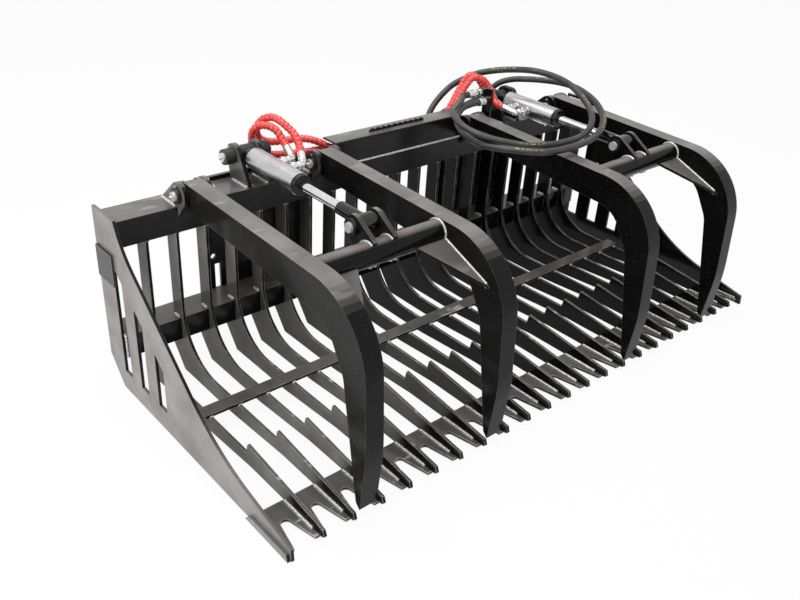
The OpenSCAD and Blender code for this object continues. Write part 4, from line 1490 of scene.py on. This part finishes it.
@dataclass
class Cylinder:
    """Rings, nuts and crimped ferrules of one hydraulic cylinder.

    Attributes:
        side: The grapple that it moves.
        hoses: Its two hoses, which the fittings lead to.
        rings: Each gland ring's distance from the base pin, length, inner and outer radius in millimetres.
        ring_sides: Number of sides of a gland ring.
        weld_x: Distance from the cylinder's axis to the weld round a port, in metres.
        weld: Profile of that weld in metres.
        port_nut: Start before the elbow's middle, length, end radius and corner radius in metres.
        elbow_nut: The same of the nut on the elbow.
        hose_nut: Start past the elbow in millimetres, then length and both radii in metres.
        crimp_from: Start of the ferrule's crimped skin past the elbow, in millimetres.
        crimp: The ferrule's crimped skin.
    """

    side: Side
    hoses: GuardedHoses
    rings: tuple[tuple[float, float, float, float], ...] = (
        (44.0, 5.0, 28.5, 29.6), (251.5, 3.0, 26.5, 27.6), (256.0, 4.5, 26.5, 27.6),
    )
    ring_sides: int = 48
    weld_x: float = 0.0285
    weld: Profile = ((0.0, 0.010), (0.0, 0.0135), (0.0025, 0.0122), (0.0035, 0.010))
    port_nut: tuple[float, float, float, float] = (0.037, 0.013, 0.0125, 0.0138)
    elbow_nut: tuple[float, float, float, float] = (0.020, 0.010, 0.0105, 0.0122)
    hose_nut: tuple[float, float, float, float] = (3.0, 0.009, 0.0095, 0.0112)
    crimp_from: float = 12.0
    crimp: Crimp = Crimp(
        low=0.0095, high=0.0109, deep=0.0106, ends=(0.0, 0.0005, 0.0335, 0.034), pitch=0.005, count=6,
        steps=(0.0008, 0.0026, 0.0034),
    )

    def at(self, s: float) -> Vector:
        """Point on the cylinder's axis at s millimetres from its base pin."""
        d, z = BASE_PIN
        return world(self.side.value * GRAPPLE_X, d + s * math.cos(CYLINDER_TILT), z + s * math.sin(CYLINDER_TILT))

    @property
    def axis(self) -> Vector:
        """Direction from the base pin to the rod pin."""
        return (self.at(1.0) - self.at(0.0)).normalized()

    @property
    def inward(self) -> Vector:
        """Direction towards the bucket's middle, which the ports face."""
        return Vector((-self.side.value, 0.0, 0.0))

    def collar(self, parts: MeshParts, s: float, length: float, low: float, high: float) -> None:
        """Adds a ring with sloping edges round the axis, in millimetres.

        Args:
            parts: The shapes to add it to.
            s: Its distance from the base pin.
            length: Its length.
            low: Its inner radius.
            high: Its outer radius.
        """
        c = min(length * 0.25, (high - low) * 0.6)
        profile = [(0.0, low), (0.0, high - c), (c, high), (length - c, high), (length, high - c), (length, low)]
        parts.turned(self.at(s), self.axis, [(a * MM, r * MM) for a, r in profile], self.ring_sides)

    def fittings(self) -> MeshParts:
        """Makes the spanner nuts and crimped ferrules of both hoses.

        Returns:
            Their shapes.
        """
        parts = MeshParts()
        for i in range(len(self.hoses.ports)):
            elbow = self.hoses.start(i, 0.0)
            for back, *sizes in (self.port_nut, self.elbow_nut):
                parts.nut(elbow - self.inward * back, self.inward, *sizes)
            begin = self.hoses.start(i, self.crimp_from)
            way = (self.hoses.start(i, self.hoses.ferrule_l) - begin).normalized()
            parts.turned(begin, way, self.crimp.profile(), 32)
            past, *sizes = self.hose_nut
            parts.nut(self.hoses.start(i, past), way, *sizes)
        return parts

    def build(self) -> None:
        """Makes the trims of the barrel, its gland and its fittings."""
        word, body = self.side.word, f"cylinder_{self.side.word}"
        black, steel = MeshParts(), MeshParts()
        for ring in self.rings:
            self.collar(black, *ring)
        reported(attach(black.made(f"{word}_gland_rings", "gland_black"), body))
        for s in self.hoses.ports:
            steel.turned(self.at(s) + self.inward * self.weld_x, self.inward, self.weld, 32)
        reported(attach(steel.made(f"{word}_port_welds", "barrel_steel"), body))
        reported(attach(self.fittings().made(f"{word}_hose_nuts", "fitting_zinc"), body))


@dataclass
class TeeNuts:
    """Plated spanner nuts and crimped ferrules where the feed hoses meet their tees.

    Attributes:
        span: Start and end along X, forward distance and height, in millimetres, that a pair of nuts shares.
        gap: Half of the gap between those nuts in millimetres.
        low: Radius of a nut's ends in metres.
        high: Radius over its corners in metres.
        slope: Length of its chamfers in metres.
        ferrules: Place in millimetres where each ferrule starts.
        crimp: A ferrule's crimped skin.
    """

    span: tuple[float, float, float, float] = (312.4, 343.6, 80.0, 614.0)
    gap: float = 2.0
    low: float = 0.0108
    high: float = 0.0126
    slope: float = 0.0008
    ferrules: tuple[Place, Place] = ((286.0, 80.0, 614.0), (317.0, 100.0, 590.0))
    crimp: Crimp = Crimp(
        low=0.0119, high=0.0124, deep=0.0121, ends=(0.001, 0.0014, 0.0246, 0.025), pitch=0.0055, count=4,
        steps=(0.0006, 0.0024, 0.003),
    )

    def build(self) -> bpy.types.Object:
        """Makes the nuts and the crimp rings of both ferrules.

        Returns:
            Their object.
        """
        parts, across = MeshParts(), Vector((1, 0, 0))
        a, b, d, z = self.span
        middle = (a + b) / 2
        for start, end in ((a, middle - self.gap), (middle + self.gap, b)):
            parts.nut(world(start, d, z), across, (end - start) * MM, self.low, self.high, self.slope)
        for place in self.ferrules:
            parts.turned(world(*place), across, self.crimp.profile())
        return reported(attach(parts.made("tee_nuts", "fitting_zinc"), "bucket"))


@dataclass
class PinTrim:
    """Turned rings on the pin collars and a grease nipple at each pin's end.

    Attributes:
        hinge: Forward distance and height of the arms' hinge pins in millimetres.
        hinge_x: Distance from an arm's middle to a hinge lug's outer face in millimetres.
        hinge_end: Distance from there to the pin's end in millimetres.
        base_x: Distance from a cylinder's middle to its base pin's collar in millimetres.
        base_end: Distance from there to the pin's end in millimetres.
        nipple: Profile of a grease nipple in metres.
        grooves: Number of rings on a collar.
        groove_from: Distance from the collar's start to the first ring in millimetres.
        groove_pitch: Distance from ring to ring in millimetres.
        groove: Profile of a ring in metres.
    """

    hinge: tuple[float, float] = (105.0, 525.0)
    hinge_x: float = 40.0
    hinge_end: float = 16.0
    base_x: float = 38.0
    base_end: float = 36.0
    nipple: Profile = (
        (0.0, 0.004), (0.002, 0.004), (0.0025, 0.0028), (0.0045, 0.0028), (0.005, 0.0034), (0.0068, 0.0030),
        (0.0078, 0.0015),
    )
    grooves: int = 9
    groove_from: float = 1.2
    groove_pitch: float = 3.0
    groove: Profile = ((0.0, 0.0205), (0.0004, 0.0213), (0.0014, 0.0213), (0.0018, 0.0205))

    def knob(self, parts: MeshParts, x: float, pin: tuple[float, float], way: int) -> None:
        """Adds a grease nipple at a pin's end, pointing left or right as way is -1 or 1."""
        parts.turned(world(x, *pin), Vector((way, 0, 0)), self.nipple, 16)

    def rings(self, parts: MeshParts, x: float, way: int) -> None:
        """Adds the turned rings of a base pin's collar.

        Args:
            parts: The shapes to add them to.
            x: Where the collar starts, in millimetres.
            way: -1 for a collar that runs left, 1 for one that runs right.
        """
        for n in range(self.grooves):
            start = (self.groove_from + self.groove_pitch * n) * MM
            profile = [(start + along, r) for along, r in self.groove]
            parts.turned(world(x, *BASE_PIN), Vector((way, 0, 0)), profile)

    def build(self) -> None:
        """Makes the nipples and the collars' rings."""
        zinc, black = MeshParts(), MeshParts()
        for g in (-1, 1):
            for way in (-1, 1):
                x = g * GRAPPLE_X + way * self.base_x
                self.knob(zinc, x + way * self.base_end, BASE_PIN, way)
                self.rings(black, x, way)
                for arm in (-1, 1):
                    # The arm nearer the bucket's middle has no nipple on its inner end
                    if arm == -g and way != g:
                        continue
                    x = g * GRAPPLE_X + arm * ARM_X + way * self.hinge_x
                    self.knob(zinc, x + way * self.hinge_end, self.hinge, way)
        reported(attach(zinc.made("pin_nipples", "fitting_zinc"), "bucket"))
        reported(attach(black.made("collar_grooves", "gland_black"), "bucket"))


def main() -> None:
    """Builds the studio and every sub-assembly."""
    Studio().build()
    FeedHose("feed_hose_a", FEED_ROUTE_A, "coupler_male").build()
    FeedHose("feed_hose_b", FEED_ROUTE_B, "coupler_female").build()
    Steelwork().dress()
    guarded = {
        Side.LEFT: GuardedHoses(Side.LEFT, (LEFT_ROUTE_1, LEFT_ROUTE_2)),
        Side.RIGHT: GuardedHoses(Side.RIGHT, (RIGHT_ROUTE_1, RIGHT_ROUTE_2)),
    }
    for side, hoses in guarded.items():
        hoses.build()
        Cylinder(side, hoses).build()
        Grapple(side).build()
    Tines().build()
    PinTrim().build()
    TeeNuts().build()


if __name__ == "__main__":
    main()
